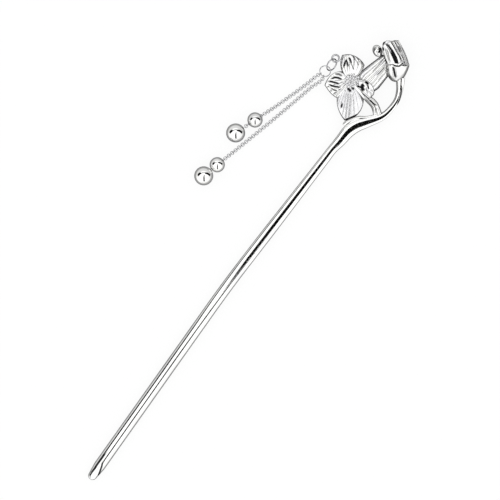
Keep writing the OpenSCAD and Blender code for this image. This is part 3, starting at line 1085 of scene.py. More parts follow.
@dataclass
class Greenery:
    """The ribbed blade behind the flower and the two stems below it.

    Attributes:
        root: u and v of the blade's foot.
        lean: its direction, in degrees from the photograph's right.
        length: its length.
        slant: how much longer its left side is, as a share.
        widths: its half width at shares of its length.
        thickness: its thickness.
        ribs: how many ribs run along it.
        rib_height: how deep the grooves between them are.
        stem_radius: the stems' radius.
        left_stem: u, v and height along one stem.
        right_stem: the same for the other.
        cuts: lines cut into the blade.
        stem_cuts: lines cut into the stems.
    """

    root: tuple[float, float] = (3.2, -2.9)
    lean: float = 45.0
    length: float = 13.2
    slant: float = -0.04
    widths: tuple = ((0, 2.6), (0.15, 3.5), (0.3, 3.95), (0.6, 3.45), (0.88, 2.95), (1, 2.8))
    thickness: float = 1.0
    ribs: int = 7
    rib_height: float = 0.2
    stem_radius: float = 0.72
    left_stem: tuple = ((1.0, -1.2, 1.0), (4.9, -5.9, 1.3), (7.2, -8.5, 1.1), (8.1, -11.8, 0.8))
    right_stem: tuple = ((1.5, -1.0, 0.5), (5.4, -5.0, 1.0), (8.1, -7.6, 1.0), (9.5, -11.6, 0.9))
    cuts: tuple[Cut, ...] = (
        Cut(((376, 76), (380.5, 71.5), (385, 66)), 0.17, 0.16, 0.9),
        Cut(((371, 73), (376.5, 67), (383, 59.5)), 0.15, 0.14, 0.7),
        Cut(((365, 69.5), (371, 63.5), (379, 57)), 0.14, 0.12, 0.45),
        Cut(((377, 81), (384, 73)), 0.14, 0.12, 0.5),
    )
    stem_cuts: tuple[Cut, ...] = (
        Cut(((362, 92), (365.5, 96)), 0.24, 0.2),
        Cut(((369, 99.5), (373, 103.5), (377, 106)), 0.22, 0.2),
        Cut(((372.3, 97.5), (376.5, 101), (379, 106)), 0.18, 0.15, 0.8),
        Cut(((375.5, 108), (375.3, 114)), 0.16, 0.14, 0.7),
        # Barely cut: painted shade along the left stem's left side
        Cut(((362.6, 97.6), (367.2, 102.2), (371.8, 107.6), (373.6, 113.6)), 0.34, 0.05, 0.75),
    )

    def blade(self) -> Surface:
        """The blade as a leaf: straight, widest a third of the way up, lower at its sides.

        Its half width goes through its table of widths, and its ribs run along it.

        Returns:
            The closed surface.
        """
        s = edged_share(81)
        t = edged(181)[None, :]
        run = np.array([np.cos(np.radians(self.lean)), np.sin(np.radians(self.lean))])
        half_width = np.interp(s, *np.array(self.widths).T)
        length = self.length * (1 + self.slant * t)
        u = self.root[0] + run[0] * length * s - run[1] * half_width * t
        v = self.root[1] + run[1] * length * s + run[0] * half_width * t
        z = 0.95 + 0.3 * s - 0.5 * t**2 - self.thickness / 2 + 0.15
        middle = np.stack([u, v, z + 0 * u], axis=-1)
        half = half_sheet(self.thickness, t, s, 14, 30)
        groove = grooves(self.ribs * (t + 1) / 2)
        cut, dark = engrave(u, v, self.cuts)
        return leaf(middle, half, UP, self.rib_height * groove + cut,
                    np.maximum(0.55 * groove**3 + 0 * s, dark))

    def stem(self, table: tuple) -> Surface:
        """One stem: a tube through its table that swells a little at both ends.

        Args:
            table: u, v and height of its points.

        Returns:
            The closed surface, with the square of the way added to its radius.
        """
        rows = smooth_rows(np.array(table), 16)
        way = np.linspace(-1, 1, len(rows))
        radius = self.stem_radius * (0.92 + 0.12 * way**2)
        return tube(np.concatenate([rows, radius[:, None]], axis=1), 28, 2.4)

    def build(self) -> None:
        """Makes the blade and both stems."""
        make_piece("ribbed_blade", [self.blade()], CAST_SOFT)
        stems = [engraved(self.stem(table), self.stem_cuts, 0.9)
                 for table in (self.left_stem, self.right_stem)]
        make_piece("stems", stems, CAST)


@dataclass(frozen=True)
class FurledPetal:
    """A petal that stands round the bud, between two edges.

    Attributes:
        name: the piece's name.
        left: its left edge on the photograph, from its foot to its top.
        right: its right edge.
        lift: how far it stands over the bud's barrel.
        rim: how dark its edges are painted, as shade along them.
        ribs: fine ribs along it.
        cuts: lines cut into it.
        finish: its silver.
        thickness: its thickness.
        axis: the bud's axis on the photograph, from its foot to its top.
        barrel: half widths of the bud's oval barrel, to the left and right of its axis.
        crown: height of the barrel over its axis.
    """

    name: str
    left: tuple
    right: tuple
    lift: float
    rim: float = 0.8
    ribs: int = 0
    cuts: tuple[Cut, ...] = ()
    finish: SilverFinish = CAST_SOFT
    thickness: float = 0.8
    axis: tuple = ((397.2, 66), (393.8, 56), (389.8, 48), (387.5, 40))
    barrel: tuple[float, float] = (3.45, 3.98)
    crown: float = 3.4

    def surface(self, axis_z: float) -> Surface:
        """The petal as a leaf on the bud's barrel.

        Its height over the bud's axis is the crown times the root of one less the square
        of the distance from the axis over the barrel's half width, plus the lift.

        Args:
            axis_z: height of the bud's axis.

        Returns:
            The closed surface.
        """
        s = edged_share(49)
        t = edged_share(61).T
        first, second = (self.along(edge, s[:, 0])[:, None] for edge in (self.left, self.right))
        uv = first * (1 - t[..., None]) + second * t[..., None]
        u, v = uv[..., 0], uv[..., 1]
        axis = from_photo(*self.axis)
        off = u - np.interp(v, axis[:, 1], axis[:, 0])
        wide = np.where(off > 0, self.barrel[1], self.barrel[0])
        z = axis_z + self.crown * np.sqrt(np.maximum(1 - (off / wide) ** 2, 0.02)) + self.lift
        middle = np.stack([u, v, z - self.thickness / 2], axis=-1)
        half = half_sheet(self.thickness, 2 * t - 1, s, 12, 30)
        groove = grooves(self.ribs * t) if self.ribs else 0 * t
        drop, dark = engrave(u, v, self.cuts)
        facing = unit(np.stack([off / wide, 0 * off, (z - axis_z) / wide + 0.3], axis=-1))
        return leaf(middle, half, facing, drop + 0.16 * groove,
                    np.maximum(0.35 * groove**3 + 0 * s, dark), self.rim)

    @staticmethod
    def along(edge: tuple, share: Array) -> Array:
        """Goes along the smooth curve through an edge.

        Args:
            edge: the edge on the photograph.
            share: shares of the way along it, from 0 to 1.

        Returns:
            u and v at each share.
        """
        curve = smooth_rows(from_photo(*edge), 24)
        way = np.linspace(0, 1, len(curve))
        return np.stack([np.interp(share, way, curve[:, k]) for k in (0, 1)], axis=1)

    def build(self, axis_z: float) -> None:
        """Makes the petal."""
        make_piece(self.name, [self.surface(axis_z)], self.finish)


@dataclass
class HalfOpenFlower:
    """The smooth cup with its seam, the furled petals in it and the curled tip.

    Attributes:
        centre: u, v and height of the cup's middle.
        cup_foot: u and v of its foot.
        cup_radius: its radius below the rim.
        cup_height: its height along its axis.
        cup_lean: its lean, in degrees clockwise where it is below nought.
        cup_skew: how far its crest is moved to the left, in radians.
        bud_lean: lean of the under petals.
        lip_radius: radius of the folded feet of the petals.
        lip_line: their line on the photograph.
        rim_wave: how high the rim stands at sines of the angle round it.
        cup_cuts: lines cut into the cup; some are bands and lines of painted shade.
        curl_at: u and v of the curled tip.
        curl_radii: its half widths.
        curl_turn: its turn, in degrees.
        curl_cuts: the spiral cut into it.
        outer: the petals seen from above, from the left.
        back: the petal behind them.
        core_line: the line on the photograph of the inside, which is painted dark as shade.
        core_radii: its radii along that line.
    """

    centre: tuple[float, float, float] = (15.6, 0.2, 1.9)
    cup_foot: tuple[float, float] = (13.8, -0.63)
    cup_radius: float = 3.6
    cup_height: float = 4.95
    cup_lean: float = -12.0
    cup_skew: float = 0.25
    bud_lean: float = 21.0
    lip_radius: float = 0.36
    lip_line: tuple = ((387.8, 62.8), (391.5, 63.0), (394.2, 64.4), (397.8, 65.0),
                       (400.2, 63.2), (403.6, 60.9), (406.8, 60.6))
    rim_wave: tuple = ((-1, -0.05), (-0.5, 0.28), (-0.3, -0.07), (0.1, 0.07), (0.32, 0.84),
                       (0.76, 1.47), (1, 1.55))
    cup_cuts: tuple[Cut, ...] = (
        Cut(((392.4, 66.5), (393.3, 71), (395.2, 78.5)), 0.42, 0.35),
        Cut(((386.8, 69.5), (387.4, 70.5)), 0.22, 0.2),
        # The next two are barely cut: bands of painted shade on the cup's lower left and right
        # sides
        Cut(((386.5, 73.5), (390, 78.3), (395.3, 81.6)), 0.55, 0.03, 0.5),
        Cut(((408, 65), (407.2, 69.5), (404, 75), (399, 79.4)), 0.5, 0.03, 0.35),
        Cut(((404.6, 63.4), (405.4, 66.5)), 0.28, 0.2, 0.9),
        # Painted shade under the folded lip
        Cut(((387.6, 65), (392.2, 65.1), (393.8, 66.6), (398.2, 67), (400.6, 65.2),
             (402.6, 64.6)), 0.15, 0.1, 0.9),
    )
    curl_at: tuple[float, float] = (8.55, 9.1)
    curl_radii: tuple[float, float, float] = (1.5, 1.98, 1.4)
    curl_turn: float = 25.0
    curl_cuts: tuple[Cut, ...] = (
        Cut(((378, 48.3), (380, 49.5), (379.3, 52), (377, 52.3)), 0.34, 0.35),
        # Barely cut: painted shade along the ball's left side
        Cut(((377, 46.6), (373.6, 49), (373, 53), (375, 56)), 0.34, 0.05, 0.6),
    )
    outer: tuple[FurledPetal, ...] = (
        FurledPetal(
            "bud_front_petal", ((386.8, 66), (383.8, 57), (382.8, 49.5), (383.8, 44.8)),
            ((395.6, 65), (392.2, 57.5), (388.8, 50.5), (384.9, 44.2)), 0.1,
            cuts=(Cut(((386, 48.5), (388, 53.4), (388.9, 58.9), (390.4, 62)), 0.2, 0.14, 0.6),
                  Cut(((384.6, 47.5), (386, 52.7), (387.6, 57.5), (389.4, 62.5)),
                      0.18, 0.14, 0.6),
                  # The next two are barely cut: painted shade along the petal's left edge
                  Cut(((383.3, 54.6), (384.8, 59), (387.3, 64.4)), 0.27, 0.05),
                  Cut(((383, 47.4), (383.5, 51.4)), 0.3, 0.05))),
        FurledPetal(
            "bud_band_petal", ((398, 64.5), (395.9, 57.5), (391.6, 49.7), (386.8, 43.4)),
            ((401.2, 64), (398.6, 57), (394.2, 49.5), (389.8, 42.1)), -0.05, 0.25),
        FurledPetal(
            "bud_ribbed_petal", ((401.5, 64.5), (399.1, 57.5), (394.8, 50), (390.6, 42)),
            ((408.4, 66), (406.2, 58), (402.8, 50), (397.6, 40.5)), 0.0, 0.6, ribs=3,
            cuts=(Cut(((396.6, 45.5), (398, 49), (399.8, 53.5)), 0.34, 0.25, 0.75),
                  Cut(((398.6, 56), (400.4, 60.5)), 0.18, 0.2, 0.9),
                  Cut(((399.6, 64.4), (402.6, 62.8)), 0.34, 0.3))),
    )
    back: FurledPetal = FurledPetal(
        "bud_back_petal", ((386, 62), (383, 52), (382, 47), (386, 40.8)),
        ((399, 62), (396, 52), (395, 46), (393.4, 41.4)), -0.9, 0.5, finish=CAST_SATIN,
        cuts=(Cut(((385.3, 43.8), (388, 46.2), (391, 50.6), (393, 54)), 0.3, 0.1),
              # Barely cut: painted shade along its left edge
              Cut(((382.4, 47.3), (382.6, 51.4)), 0.3, 0.05)))
    core_line: tuple = ((397.5, 66), (395, 58), (392, 50), (388.5, 45))
    core_radii: tuple[float, ...] = (2.7, 2.75, 2.45, 1.5)

    def cup(self) -> Surface:
        """The cup as a turned profile, with the seam between its sepals cut into it.

        Points are the profile's radius about the leaning axis and its height along it. The
        crest of each section is moved to the left, onto the seam.

        Returns:
            The closed surface.
        """
        r, h = self.cup_radius, self.cup_height
        profile = smooth_rows(np.array([
            (0.0, 0.0), (0.9, 0.2), (1.7, 0.7), (2.7, 1.85), (3.3, 3.4), (r - 0.02, h - 0.6),
            (r, h - 0.25), (r - 0.12, h - 0.03), (r - 0.4, h), (r - 0.75, h - 0.35),
            (0.0, h - 0.4),
        ]), 10)
        turn = circle(120)
        radius, height = profile[:, :1], profile[:, 1:]
        wave = np.interp(np.sin(turn), *np.array(self.rim_wave).T)
        height = height + wave * (height / h) ** 4
        x, z = radius * np.sin(turn), radius * np.cos(turn + self.cup_skew * np.cos(turn))
        lean = np.radians(self.cup_lean)
        u = self.cup_foot[0] + np.cos(lean) * x - np.sin(lean) * height
        v = self.cup_foot[1] + np.sin(lean) * x + np.cos(lean) * height
        drop, dark = engrave(u, v, self.cup_cuts)
        front = z > 0.6
        shrink = 1 - np.where(front, drop, 0) / np.maximum(radius, 1)
        points = np.stack([
            self.cup_foot[0] + np.cos(lean) * x * shrink - np.sin(lean) * height,
            self.cup_foot[1] + np.sin(lean) * x * shrink + np.cos(lean) * height,
            self.centre[2] + z * shrink,
        ], axis=-1)
        row = np.arange(len(profile))[:, None]
        # The profile turns inwards over its rim at row 78, and is painted dark from row 86, as
        # shade inside the cup
        inside = 0.8 * soft_step((row - 78) / 8)
        return Surface(points, np.maximum(np.where(front, dark, 0.0), inside))

    def hidden(self, aim: float, spread: float, height: float, out: float) -> Surface:
        """A petal on the bud's underside: part of a barrel that closes towards its top.

        Its distance from the bud's axis swells as a sine of the way up, and shrinks with
        that way's cube and with the square of the way across.

        Args:
            aim: direction of its middle about the axis, in degrees from the front.
            spread: half the angle that it spans.
            height: its height.
            out: how far it stands out.

        Returns:
            The closed surface.
        """
        s = edged_share(41)
        t = edged(61)[None, :]
        angle = np.radians(aim + spread * t)
        y = (height - 0.9 * t**2) * s
        r = (2.95 + 0.7 * np.sin(np.radians(np.minimum(90, 160 * s))) - 0.9 * s**3 + out
             - 0.25 * t**2)
        groove = grooves(5 * (t + 1) / 2)
        half = half_sheet(1.0, t, s, 10, 24)
        lean = np.radians(self.bud_lean)
        facing_x, facing_z = np.sin(angle) + 0 * s, np.cos(angle) + 0 * s

        def placed(x: Array, up: Array, z: Array) -> Array:
            """Leans points with the bud and puts them on the cup.

            Args:
                x: way to the right of the bud's axis.
                up: way along the axis.
                z: way to the front of it.

            Returns:
                The points in the head's axes.
            """
            return np.stack([
                self.centre[0] - 0.25 + np.cos(lean) * x - np.sin(lean) * up,
                self.centre[1] + 4.0 + np.sin(lean) * x + np.cos(lean) * up,
                self.centre[2] + z,
            ], axis=-1)

        middle = placed((r - 0.5) * facing_x, y, (r - 0.5) * facing_z)
        facing = np.stack([np.cos(lean) * facing_x, np.sin(lean) * facing_x, facing_z], axis=-1)
        return leaf(middle, half, facing, 0.15 * groove + 0 * s, 0.5 * groove**3 + 0 * s)

    def lip(self) -> Surface:
        """The folded feet of the petals: a thin tube that waves along the cup's rim.

        Its height is a circle's about the cup's axis, and its radius follows the root of a
        sine, so both ends are round.

        Returns:
            The closed surface.
        """
        u, v = smooth_rows(from_photo(*self.lip_line), 8).T
        off = u - self.cup_foot[0] + np.sin(np.radians(self.cup_lean)) * self.cup_height
        z = self.centre[2] + np.sqrt(np.maximum(3.35**2 - off**2, 0.3))
        radius = self.lip_radius * np.sqrt(np.sin(np.linspace(0.12, np.pi - 0.12, len(u))))
        return tube(np.column_stack([u, v, z, radius]), 24)

    def painted_shade_core(self) -> Surface:
        """The inside of the bud, a slim barrel painted dark as shade, that only shows between
        petals.

        Returns:
            The closed surface, a tube along the bud's axis.
        """
        path = from_photo(*self.core_line)
        rows = np.column_stack([path, np.full(len(path), self.centre[2]), self.core_radii])
        made = tube(smooth_rows(rows, 10), 48)
        # Painted shade: black on top, where it shows between the petals, and dark grey below
        made.recess_and_shade = np.where(made.points[..., 2] > 3.4, 1.0, 0.6)
        return made

    def curl(self) -> Surface:
        """The curled tip: an ellipsoid with a spiral cut into it.

        Returns:
            The closed surface.
        """
        height = self.centre[2]
        egg = ball(np.array([*self.curl_at, height]), np.array(self.curl_radii),
                   np.radians(self.curl_turn), 49, 72)
        return engraved(egg, self.curl_cuts, height)

    def build(self) -> None:
        """Makes the cup, the furled petals, the inside painted dark as shade, and the curled tip.
        """
        make_piece("bud_cup", [self.cup()], BURNISHED)
        for petal in self.outer:
            petal.build(self.centre[2])
        make_piece("bud_lip", [self.lip()], CAST)
        self.back.build(self.centre[2])
        under = [self.hidden(150, 54, 8.3, 0.2), self.hidden(-135, 40, 9.0, -0.15)]
        make_piece("bud_under_petals", under, CAST)
        make_piece("bud_painted_shade_core", [self.painted_shade_core()], CAST)
        make_piece("curled_tip", [self.curl()], CAST)


@dataclass
class Rings:
    """The soldered eye, the leaning jump ring and the ring that holds both chains.

    Attributes:
        eye_at: u, v and height of the eye's middle.
        eye_radius: its radius, to the middle of its wire.
        eye_wire: radius of its wire.
        jump_at: middle of the jump ring.
        jump_radius: its radius.
        jump_wire: radius of its wire.
        holder_at: middle of the ring that holds the chains.
        holder_radius: its radius.
        holder_wire: radius of its wire.
        holder_tilt: its slope to the table, in degrees.
        holder_up: direction of its higher side, in degrees from the photograph's right.
        jump_lean: how far the jump ring stands up from the table, in degrees.
        jump_turn: direction of the line that it leans about.
        jump_slope: slope of that line.
        stalk: u, v, height and radius along the eye's stalk.
    """

    eye_at: tuple[float, float, float] = (-4.64, 6.78, 1.2)
    eye_radius: float = 1.1
    eye_wire: float = 0.28
    jump_at: tuple[float, float, float] = (-5.86, 4.8, 1.05)
    jump_radius: float = 2.0
    jump_wire: float = 0.2
    holder_at: tuple[float, float, float] = (-7.92, 2.77, 0.75)
    holder_radius: float = 1.7
    holder_wire: float = 0.15
    holder_tilt: float = 12.0
    holder_up: float = 45.0
    jump_lean: float = 51.0
    jump_turn: float = 65.0
    jump_slope: float = 12.0
    stalk: tuple = ((-3.7, 6.5, 1.2, 0.22), (-3.0, 6.1, 1.2, 0.33), (-2.1, 5.8, 1.0, 0.45))

    def build(self) -> None:
        """Makes the three rings and the stalk that the eye is soldered to."""
        eye = Surface(ring(self.eye_radius, self.eye_wire, 72, 24) + self.eye_at, closes_rows=True)
        stalk = tube(smooth_rows(np.array(self.stalk), 10), 20)
        make_piece("soldered_eye", [eye, stalk], TUMBLED_WIRE)
        wire = ring(self.jump_radius, self.jump_wire, 96, 20) @ turned(0, 0, self.jump_lean).T
        jump = Surface(wire @ turned(-self.jump_slope, self.jump_turn, 0).T + self.jump_at,
                       closes_rows=True)
        self.close(jump, 20)
        make_piece("leaning_jump_ring", [jump], TUMBLED_WIRE, "jump_ring")
        wire = ring(self.holder_radius, self.holder_wire, 96, 20)
        holder = Surface(wire @ turned(-self.holder_tilt, self.holder_up, 0).T + self.holder_at,
                         closes_rows=True)
        self.close(holder, 30)
        make_piece("chain_holding_ring", [holder], TUMBLED_WIRE, "chain_ring")

    @staticmethod
    def close(wire: Surface, at: int) -> None:
        """Marks the fine dark line where a ring's wire was closed."""
        wire.recess_and_shade = np.zeros(wire.points.shape[:2])
        wire.recess_and_shade[at] = 0.8


@dataclass
class Tassel:
    """One fine chain from the ring to its large bead, with a small bead on the way.

    Attributes:
        name: the chain's CAD node.
        azimuth: where it hangs on the ring, in degrees from the photograph's right.
        small: u and v of the small bead.
        large: u and v of the large bead.
        bow: how far the chain bows to its left.
        link_radius: a link's radius, to the middle of its wire.
        link_wire: radius of its wire.
        link_gap: play between two links.
        small_radius: the small bead's radius.
        large_radius: the large bead's radius.
        hole_radius: radius of the hole in the small bead.
        stand: how far the soldered link's middle stands off the large bead.
        drop: length over which the chain comes down to the table.
        rise: length over which it rises to the small bead.
        turn: length over which it turns from the ring's radius to its own line.
    """

    name: str
    azimuth: float
    small: tuple[float, float]
    large: tuple[float, float]
    bow: float = 0.3
    link_radius: float = 0.53
    link_wire: float = 0.11
    link_gap: float = 0.12
    small_radius: float = 2.4
    large_radius: float = 2.995
    hole_radius: float = 0.8
    stand: float = 0.45
    drop: float = 9.0
    rise: float = 6.0
    turn: float = 5.0

    def __post_init__(self) -> None:
        """Works out the hook on the ring and both beads' middles."""
        rings = Rings()
        angle = np.radians(self.azimuth)
        inner = self.link_radius - self.link_wire - rings.holder_wire
        out = rings.holder_radius + inner / 2
        self.hook = np.array(rings.holder_at[:2]) + out * np.array([np.cos(angle), np.sin(angle)])
        self.hook_z = (rings.holder_at[2] + rings.holder_radius
                       * np.sin(np.radians(rings.holder_tilt))
                       * np.cos(angle - np.radians(rings.holder_up)))
        self.small_at = np.array([*self.small, FLOOR_Z + self.small_radius])
        self.large_at = np.array([*self.large, FLOOR_Z + self.large_radius])
        self.reach = float(np.linalg.norm(self.small - self.hook))
        self.between = float(np.linalg.norm(self.large_at[:2] - self.small_at[:2]))

    def point(self, d: Array) -> Array:
        """The chain's line at distances from its hook.

        It leaves the ring along the ring's radius, comes down to the table with a level
        bow to its left, and rises to the straight line through both beads' middles.

        Args:
            d: distances in millimetres.

        Returns:
            One point for each distance.
        """
        d = np.atleast_1d(np.asarray(d, float))
        to_bead = unit(self.small_at[:2] - self.hook)
        on = unit(self.large_at[:2] - self.small_at[:2])
        way = np.minimum(1, d / self.reach)
        off = np.tan(np.radians(self.azimuth) - np.arctan2(to_bead[1], to_bead[0]))
        aside = self.bow * 4 * way * (1 - way) + off * d * np.maximum(0, 1 - d / self.turn) ** 2
        side = np.array([-to_bead[1], to_bead[0]])
        before = self.hook + d[:, None] * to_bead + aside[:, None] * side
        after = self.small_at[:2] + (d - self.reach)[:, None] * on
        flat = np.where((d < self.reach)[:, None], before, after)
        slope = (self.large_radius - self.small_radius) / self.between
        line = FLOOR_Z + self.small_radius + slope * (d - self.reach)
        rest = FLOOR_Z + self.link_radius + self.link_wire
        hang = soft_step(1 - d / self.drop)
        lift = soft_step(1 - (self.reach - self.small_radius - 0.4 - d) / self.rise)
        z = rest + (self.hook_z - rest) * hang + (line - rest) * lift
        return np.column_stack([flat, z])

    def pace(self, d: Array) -> Array:
        """How fast the chain runs along its curve at distances."""
        return np.linalg.norm(self.point(d + 0.05) - self.point(d - 0.05), axis=1) / 0.1

    def stations(self) -> Array:
        """Spaces the links' middles evenly along the curve.

        The curve's length is the sum of its pace over even parts, and each middle lies one
        step of that length further on than the last one.

        Returns:
            The middles' distances from the hook.
        """
        whole = float(np.hypot(self.between, self.large_radius - self.small_radius))
        end = self.reach + self.between * (1 - (self.large_radius + self.stand) / whole)
        parts = 150
        steps = np.arange(0.5, parts + 1) / parts
        length = float(self.pace(end * steps).sum() * end / parts)
        count = int(np.ceil(length / (2 * (self.link_radius - self.link_wire) - self.link_gap)))
        step, marks = length / count, [0.0]
        while len(marks) < count:
            ahead = marks[-1] + step / self.pace(np.array([marks[-1] + step / 2]))[0]
            marks.append(float(ahead))
        return np.array(marks)

    def links(self) -> list[Surface]:
        """Round wire links, each turned a quarter against the last one.

        Returns:
            A closed ring for each link.
        """
        marks = self.stations()
        run = unit(self.point(marks + 0.3) - self.point(marks - 0.3))
        wire = ring(self.link_radius, self.link_wire, 24, 8)
        return [Surface(wire @ aimed(way, 0 if k % 2 else 90).T + at, closes_rows=True)
                for k, (at, way) in enumerate(zip(self.point(marks), run))]

    def along(self) -> Array:
        """Matrix that turns X to the line through both beads."""
        return aimed(unit(self.large_at - self.small_at))

    def small_bead(self) -> Surface:
        """The drilled bead: a ball's profile with round rims and the wall of its hole.

        The profile is carried round the line through both beads.

        Returns:
            The closed surface.
        """
        first = np.arcsin(self.hole_radius / self.small_radius)
        a = np.linspace(first, np.pi - first, 65)
        outside = np.stack([-np.cos(a), np.sin(a)], axis=1) * self.small_radius
        rim_x = outside[-1, 0]
        rim = [(rim_x - 0.04, self.hole_radius - 0.06), (rim_x - 0.12, self.hole_radius - 0.08)]
        inner = np.linspace(rim_x - 0.25, -rim_x + 0.25, 9)
        wall = np.stack([inner, np.full(9, self.hole_radius)], axis=1)
        far = [(-x, r) for x, r in reversed(rim)]
        profile = np.concatenate([outside, rim, wall, far])
        turn = circle(96)
        x = profile[:, :1] + 0 * turn
        points = np.stack([x, profile[:, 1:] * np.cos(turn), profile[:, 1:] * np.sin(turn)],
                          axis=-1)
        recess_and_shade = np.zeros(points.shape[:2])
        # The rims and the wall of the hole are painted dark, as shade inside the hole
        recess_and_shade[len(outside) + 1 :] = 0.7
        return Surface(points @ self.along().T + self.small_at, recess_and_shade, closes_rows=True)

    def large_bead(self) -> list[Surface]:
        """The bead that ends the chain, and the link that is soldered to it.

        Returns:
            The ball and the link.
        """
        a = np.linspace(0, np.pi, 81)[:, None]
        turn = circle(96)[None, :]
        points = np.stack([-np.cos(a) + 0 * turn, np.sin(a) * np.cos(turn),
                           np.sin(a) * np.sin(turn)], axis=-1) * self.large_radius
        sphere = Surface(points @ self.along().T + self.large_at)
        quarter = 90 if len(self.stations()) % 2 == 0 else 0
        wire = ring(self.link_radius, self.link_wire, 40, 12) @ turned(0, 0, quarter).T
        out = np.array([-self.large_radius - self.stand, 0.0, 0.0])
        link = Surface((wire + out) @ self.along().T + self.large_at, closes_rows=True)
        return [sphere, link]

    def build(self) -> None:
        """Makes the chain and both beads."""
        make_piece(f"{self.name}_links", self.links(), TUMBLED_WIRE, self.name)
        make_piece(f"{self.name}_drilled_bead", [self.small_bead()], PRESSED_BEAD,
                   f"{self.name}_small_bead")
        make_piece(f"{self.name}_end_bead", self.large_bead(), PRESSED_BEAD,
                   f"{self.name}_large_bead")


# ---------------------------------------------------------------- studio


@dataclass
class Studio:
    """A white table in a light tent, with the dark gaps that polished silver shows.

    The gaps are cards and poles round the table, which only reflections see. Directions
    are azimuths from the photograph's right, anticlockwise, and heights over the table.

    Attributes:
        tent_radius: the tent's radius, in millimetres.
        tent_x: X of its middle, in millimetres.
        overhead: brightness of its top.
        wall: brightness of its wall at the photograph's upper side.
        window: brightness of its wall at the lower side.
        below: brightness that the silver sees below it.
        back_light: share of the paper's white that comes from within it.
        width_mm: width of the picture on the table.
        lens: the camera's focal length, in millimetres.
        sensor: width of its sensor.
        aim_at: X and Y that the picture's middle shows, in millimetres.
        paper: half the paper's width, in metres.
        fibre_mm: size of its fibres.
    """

    tent_radius: float = 420.0
    tent_x: float = 40.0
    overhead: float = 1.35
    wall: float = 0.82
    window: float = 1.15
    below: float = 0.42
    back_light: float = 0.9
    width_mm: float = 157.5
    lens: float = 500.0
    sensor: float = 36.0
    aim_at: tuple[float, float] = (22.41, 0.61)
    paper: float = 3.0
    fibre_mm: float = 0.6

    def strip(
        self, name: str, places: tuple[tuple[float, float, float], ...], out: float, colour: str
    ) -> None:
        """Hangs a dark strip in the tent along a line of directions.

        Args:
            name: its name.
            places: azimuth, height over the table and half width, all in degrees.
            out: its distance, as a share of the tent's radius.
            colour: what it reflects as.
        """
        rows = smooth_rows(np.array(places, float), 8)
        azimuth, height, half = (np.radians(rows[:, k]) for k in range(3))
        azimuth = azimuth + HEAD_TURN
        way = np.stack([np.cos(azimuth) * np.cos(height), np.sin(azimuth) * np.cos(height),
                        np.sin(height)], axis=1)
        side = unit(np.cross(way, np.gradient(way, axis=0)))
        wide = np.tan(half)[:, None]
        edges = np.stack([unit(way + side * wide), way, unit(way - side * wide)], axis=1)
        points = edges * self.tent_radius * out + np.array([self.tent_x, 0.0, 0.0])
        count = len(rows)
        faces = [(3 * i + j, 3 * i + j + 1, 3 * i + j + 4, 3 * i + j + 3)
                 for i in range(count - 1) for j in (0, 1)]
        self.hang(name, points, faces, colour)

    def card(
        self, name: str, centre: tuple[float, float], radii: tuple[float, float], height: float
    ) -> None:
        """Hangs a round dark card over the table, for reflections alone.

        Args:
            name: its name.
            centre: X and Y of its middle, in millimetres.
            radii: its half widths along X and Y.
            height: its height over the table.
        """
        turn = circle(48)
        rim = np.column_stack([centre[0] + radii[0] * np.cos(turn),
                               centre[1] + radii[1] * np.sin(turn), np.full(48, height)])
        self.hang(name, rim, [tuple(range(48))], "#0A0A0A")

    def hang(self, name: str, points: Array, faces: list, colour: str) -> None:
        """Makes a dark thing that only reflections see.

        Args:
            name: its name.
            points: its corners, in the frame and in millimetres.
            faces: corner numbers of each face.
            colour: what it reflects as.
        """
        mesh = bpy.data.meshes.new(name)
        mesh.from_pydata((points.reshape(-1, 3) * MM).tolist(), [], faces)
        made = put(name, mesh)
        cloth = bpy.data.materials.new(f"{name}_black_cloth")
        tree = blank_tree(cloth)
        dull = add(tree, "ShaderNodeEmission", {"Color": linear(colour), "Strength": 1.0})
        add(tree, "ShaderNodeOutputMaterial", None, {"Surface": dull.outputs[0]})
        mesh.materials.append(cloth)
        made.visible_camera = made.visible_diffuse = made.visible_shadow = False

    def tent(self) -> None:
        """Lights the world as a white tent that is brightest overhead."""
        world = bpy.data.worlds.new("light_tent")
        bpy.context.scene.world = world
        tree = blank_tree(world)
        way = add(tree, "ShaderNodeTexCoord").outputs["Generated"]
        height = add(tree, "ShaderNodeSeparateXYZ", None, {0: way}).outputs["Z"]
        across = add(tree, "ShaderNodeVectorMath",
                     {"operation": "DOT_PRODUCT", 1: (-np.sin(HEAD_TURN), np.cos(HEAD_TURN), 0.0)},
                     {0: way})
        side = add(tree, "ShaderNodeMapRange",
                   {"interpolation_type": "SMOOTHSTEP", "From Min": -0.5, "From Max": 0.3,
                    "To Min": self.window, "To Max": self.wall},
                   {"Value": across.outputs["Value"]})
        wall = add(tree, "ShaderNodeMapRange",
                   {"interpolation_type": "SMOOTHSTEP", "From Min": 0.3, "From Max": 0.7,
                    "To Max": self.overhead}, {"Value": height, "To Min": side.outputs["Result"]})
        strength = add(tree, "ShaderNodeMapRange",
                       {"interpolation_type": "SMOOTHSTEP", "From Min": -0.38, "From Max": -0.12,
                        "To Min": self.below},
                       {"Value": height, "To Max": wall.outputs["Result"]})
        light = add(tree, "ShaderNodeBackground", {"Color": linear("#FFFFFF")},
                    {"Strength": strength.outputs["Result"]})
        add(tree, "ShaderNodeOutputWorld", None, {"Surface": light.outputs[0]})

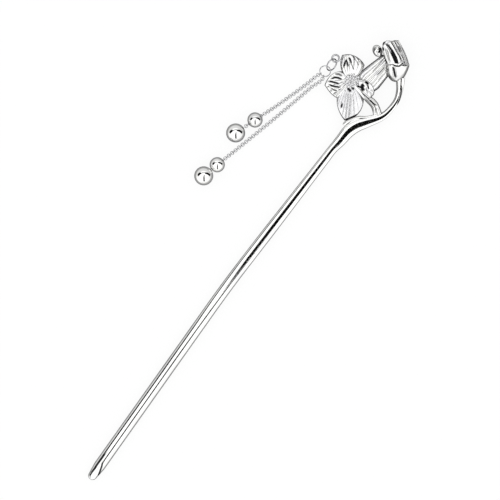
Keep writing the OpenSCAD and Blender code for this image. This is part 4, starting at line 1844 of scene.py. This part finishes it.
    def table(self) -> None:
        """Lays a wide sheet of white paper under the stick."""
        corners = np.array([(-1, -1), (1, -1), (1, 1), (-1, 1)]) * self.paper
        points = np.column_stack([corners, np.full(4, CAD_BOX[0][2])])
        mesh = bpy.data.meshes.new("white_paper")
        mesh.from_pydata(points.tolist(), [], [(0, 1, 2, 3)])
        made = put("white_paper", mesh)
        paper = bpy.data.materials.new("paper_white_matt")
        tree = blank_tree(paper)
        where = add(tree, "ShaderNodeTexCoord").outputs["Object"]
        fibres = add(tree, "ShaderNodeTexNoise",
                     {"Scale": 1 / (self.fibre_mm * MM), "Detail": 3.0}, {"Vector": where})
        tone = add(tree, "ShaderNodeMix",
                   {"data_type": "RGBA", 6: linear("#FBFBFB"), 7: linear("#FFFFFF")},
                   {0: fibres.outputs["Fac"]})
        matt = add(tree, "ShaderNodeBsdfDiffuse", {"Roughness": 1.0}, {"Color": tone.outputs[2]})
        glow = add(tree, "ShaderNodeEmission", {"Strength": 1.0}, {"Color": tone.outputs[2]})
        shader = add(tree, "ShaderNodeMixShader", {0: self.back_light},
                     {1: matt.outputs[0], 2: glow.outputs[0]})
        add(tree, "ShaderNodeOutputMaterial", None, {"Surface": shader.outputs[0]})
        mesh.materials.append(paper)
        made.visible_glossy = False

    def camera(self) -> None:
        """Looks straight down, turned as the photograph is."""
        data = bpy.data.cameras.new("camera")
        data.lens, data.sensor_width = self.lens, self.sensor
        data.clip_start, data.clip_end = 0.01, 50.0
        made = put("camera", data)
        away = self.width_mm / self.sensor * self.lens
        made.location = (self.aim_at[0] * MM, self.aim_at[1] * MM, away * MM)
        made.rotation_euler = (0.0, 0.0, HEAD_TURN)
        bpy.context.scene.camera = made

    def build(self) -> None:
        """Sets the table, the tent with its dark gaps, and the camera."""
        self.tent()
        self.table()
        self.card("camera_body", (62.0, -8.0), (58.0, 43.0), 415.0)
        self.strip("camera_arm", ((-90, 84, 7), (-90, 70, 8), (-90, 45, 8), (-88, 18, 7)),
                   1.0, "#161616")
        self.strip("tent_pole", ((60, 47, 3), (90, 48, 3), (120, 49, 3.5), (150, 42, 5)),
                   1.01, "#202020")
        self.strip("left_gap", ((140, 40, 9), (150, 33, 13), (163, 25, 14), (178, 14, 10)),
                   0.99, "#060606")
        self.strip("right_gap", ((75, 54, 6), (50, 47, 11), (22, 26, 13), (4, 4, 11)),
                   0.99, "#060606")
        self.camera()
        bpy.context.scene.view_settings.view_transform = "Standard"


def main() -> None:
    """Builds each part of the hair stick in order, then the studio."""
    logging.basicConfig(level=logging.INFO, format="%(message)s")
    Shaft().build()
    OpenFlower().build()
    Greenery().build()
    HalfOpenFlower().build()
    Rings().build()
    Tassel("short_chain", 207, (-30.0, -12.6), (-36.1, -16.7)).build()
    Tassel("long_chain", 252, (-41.9, -26.7), (-46.15, -30.2)).build()
    Studio().build()


if __name__ == "__main__":
    main()
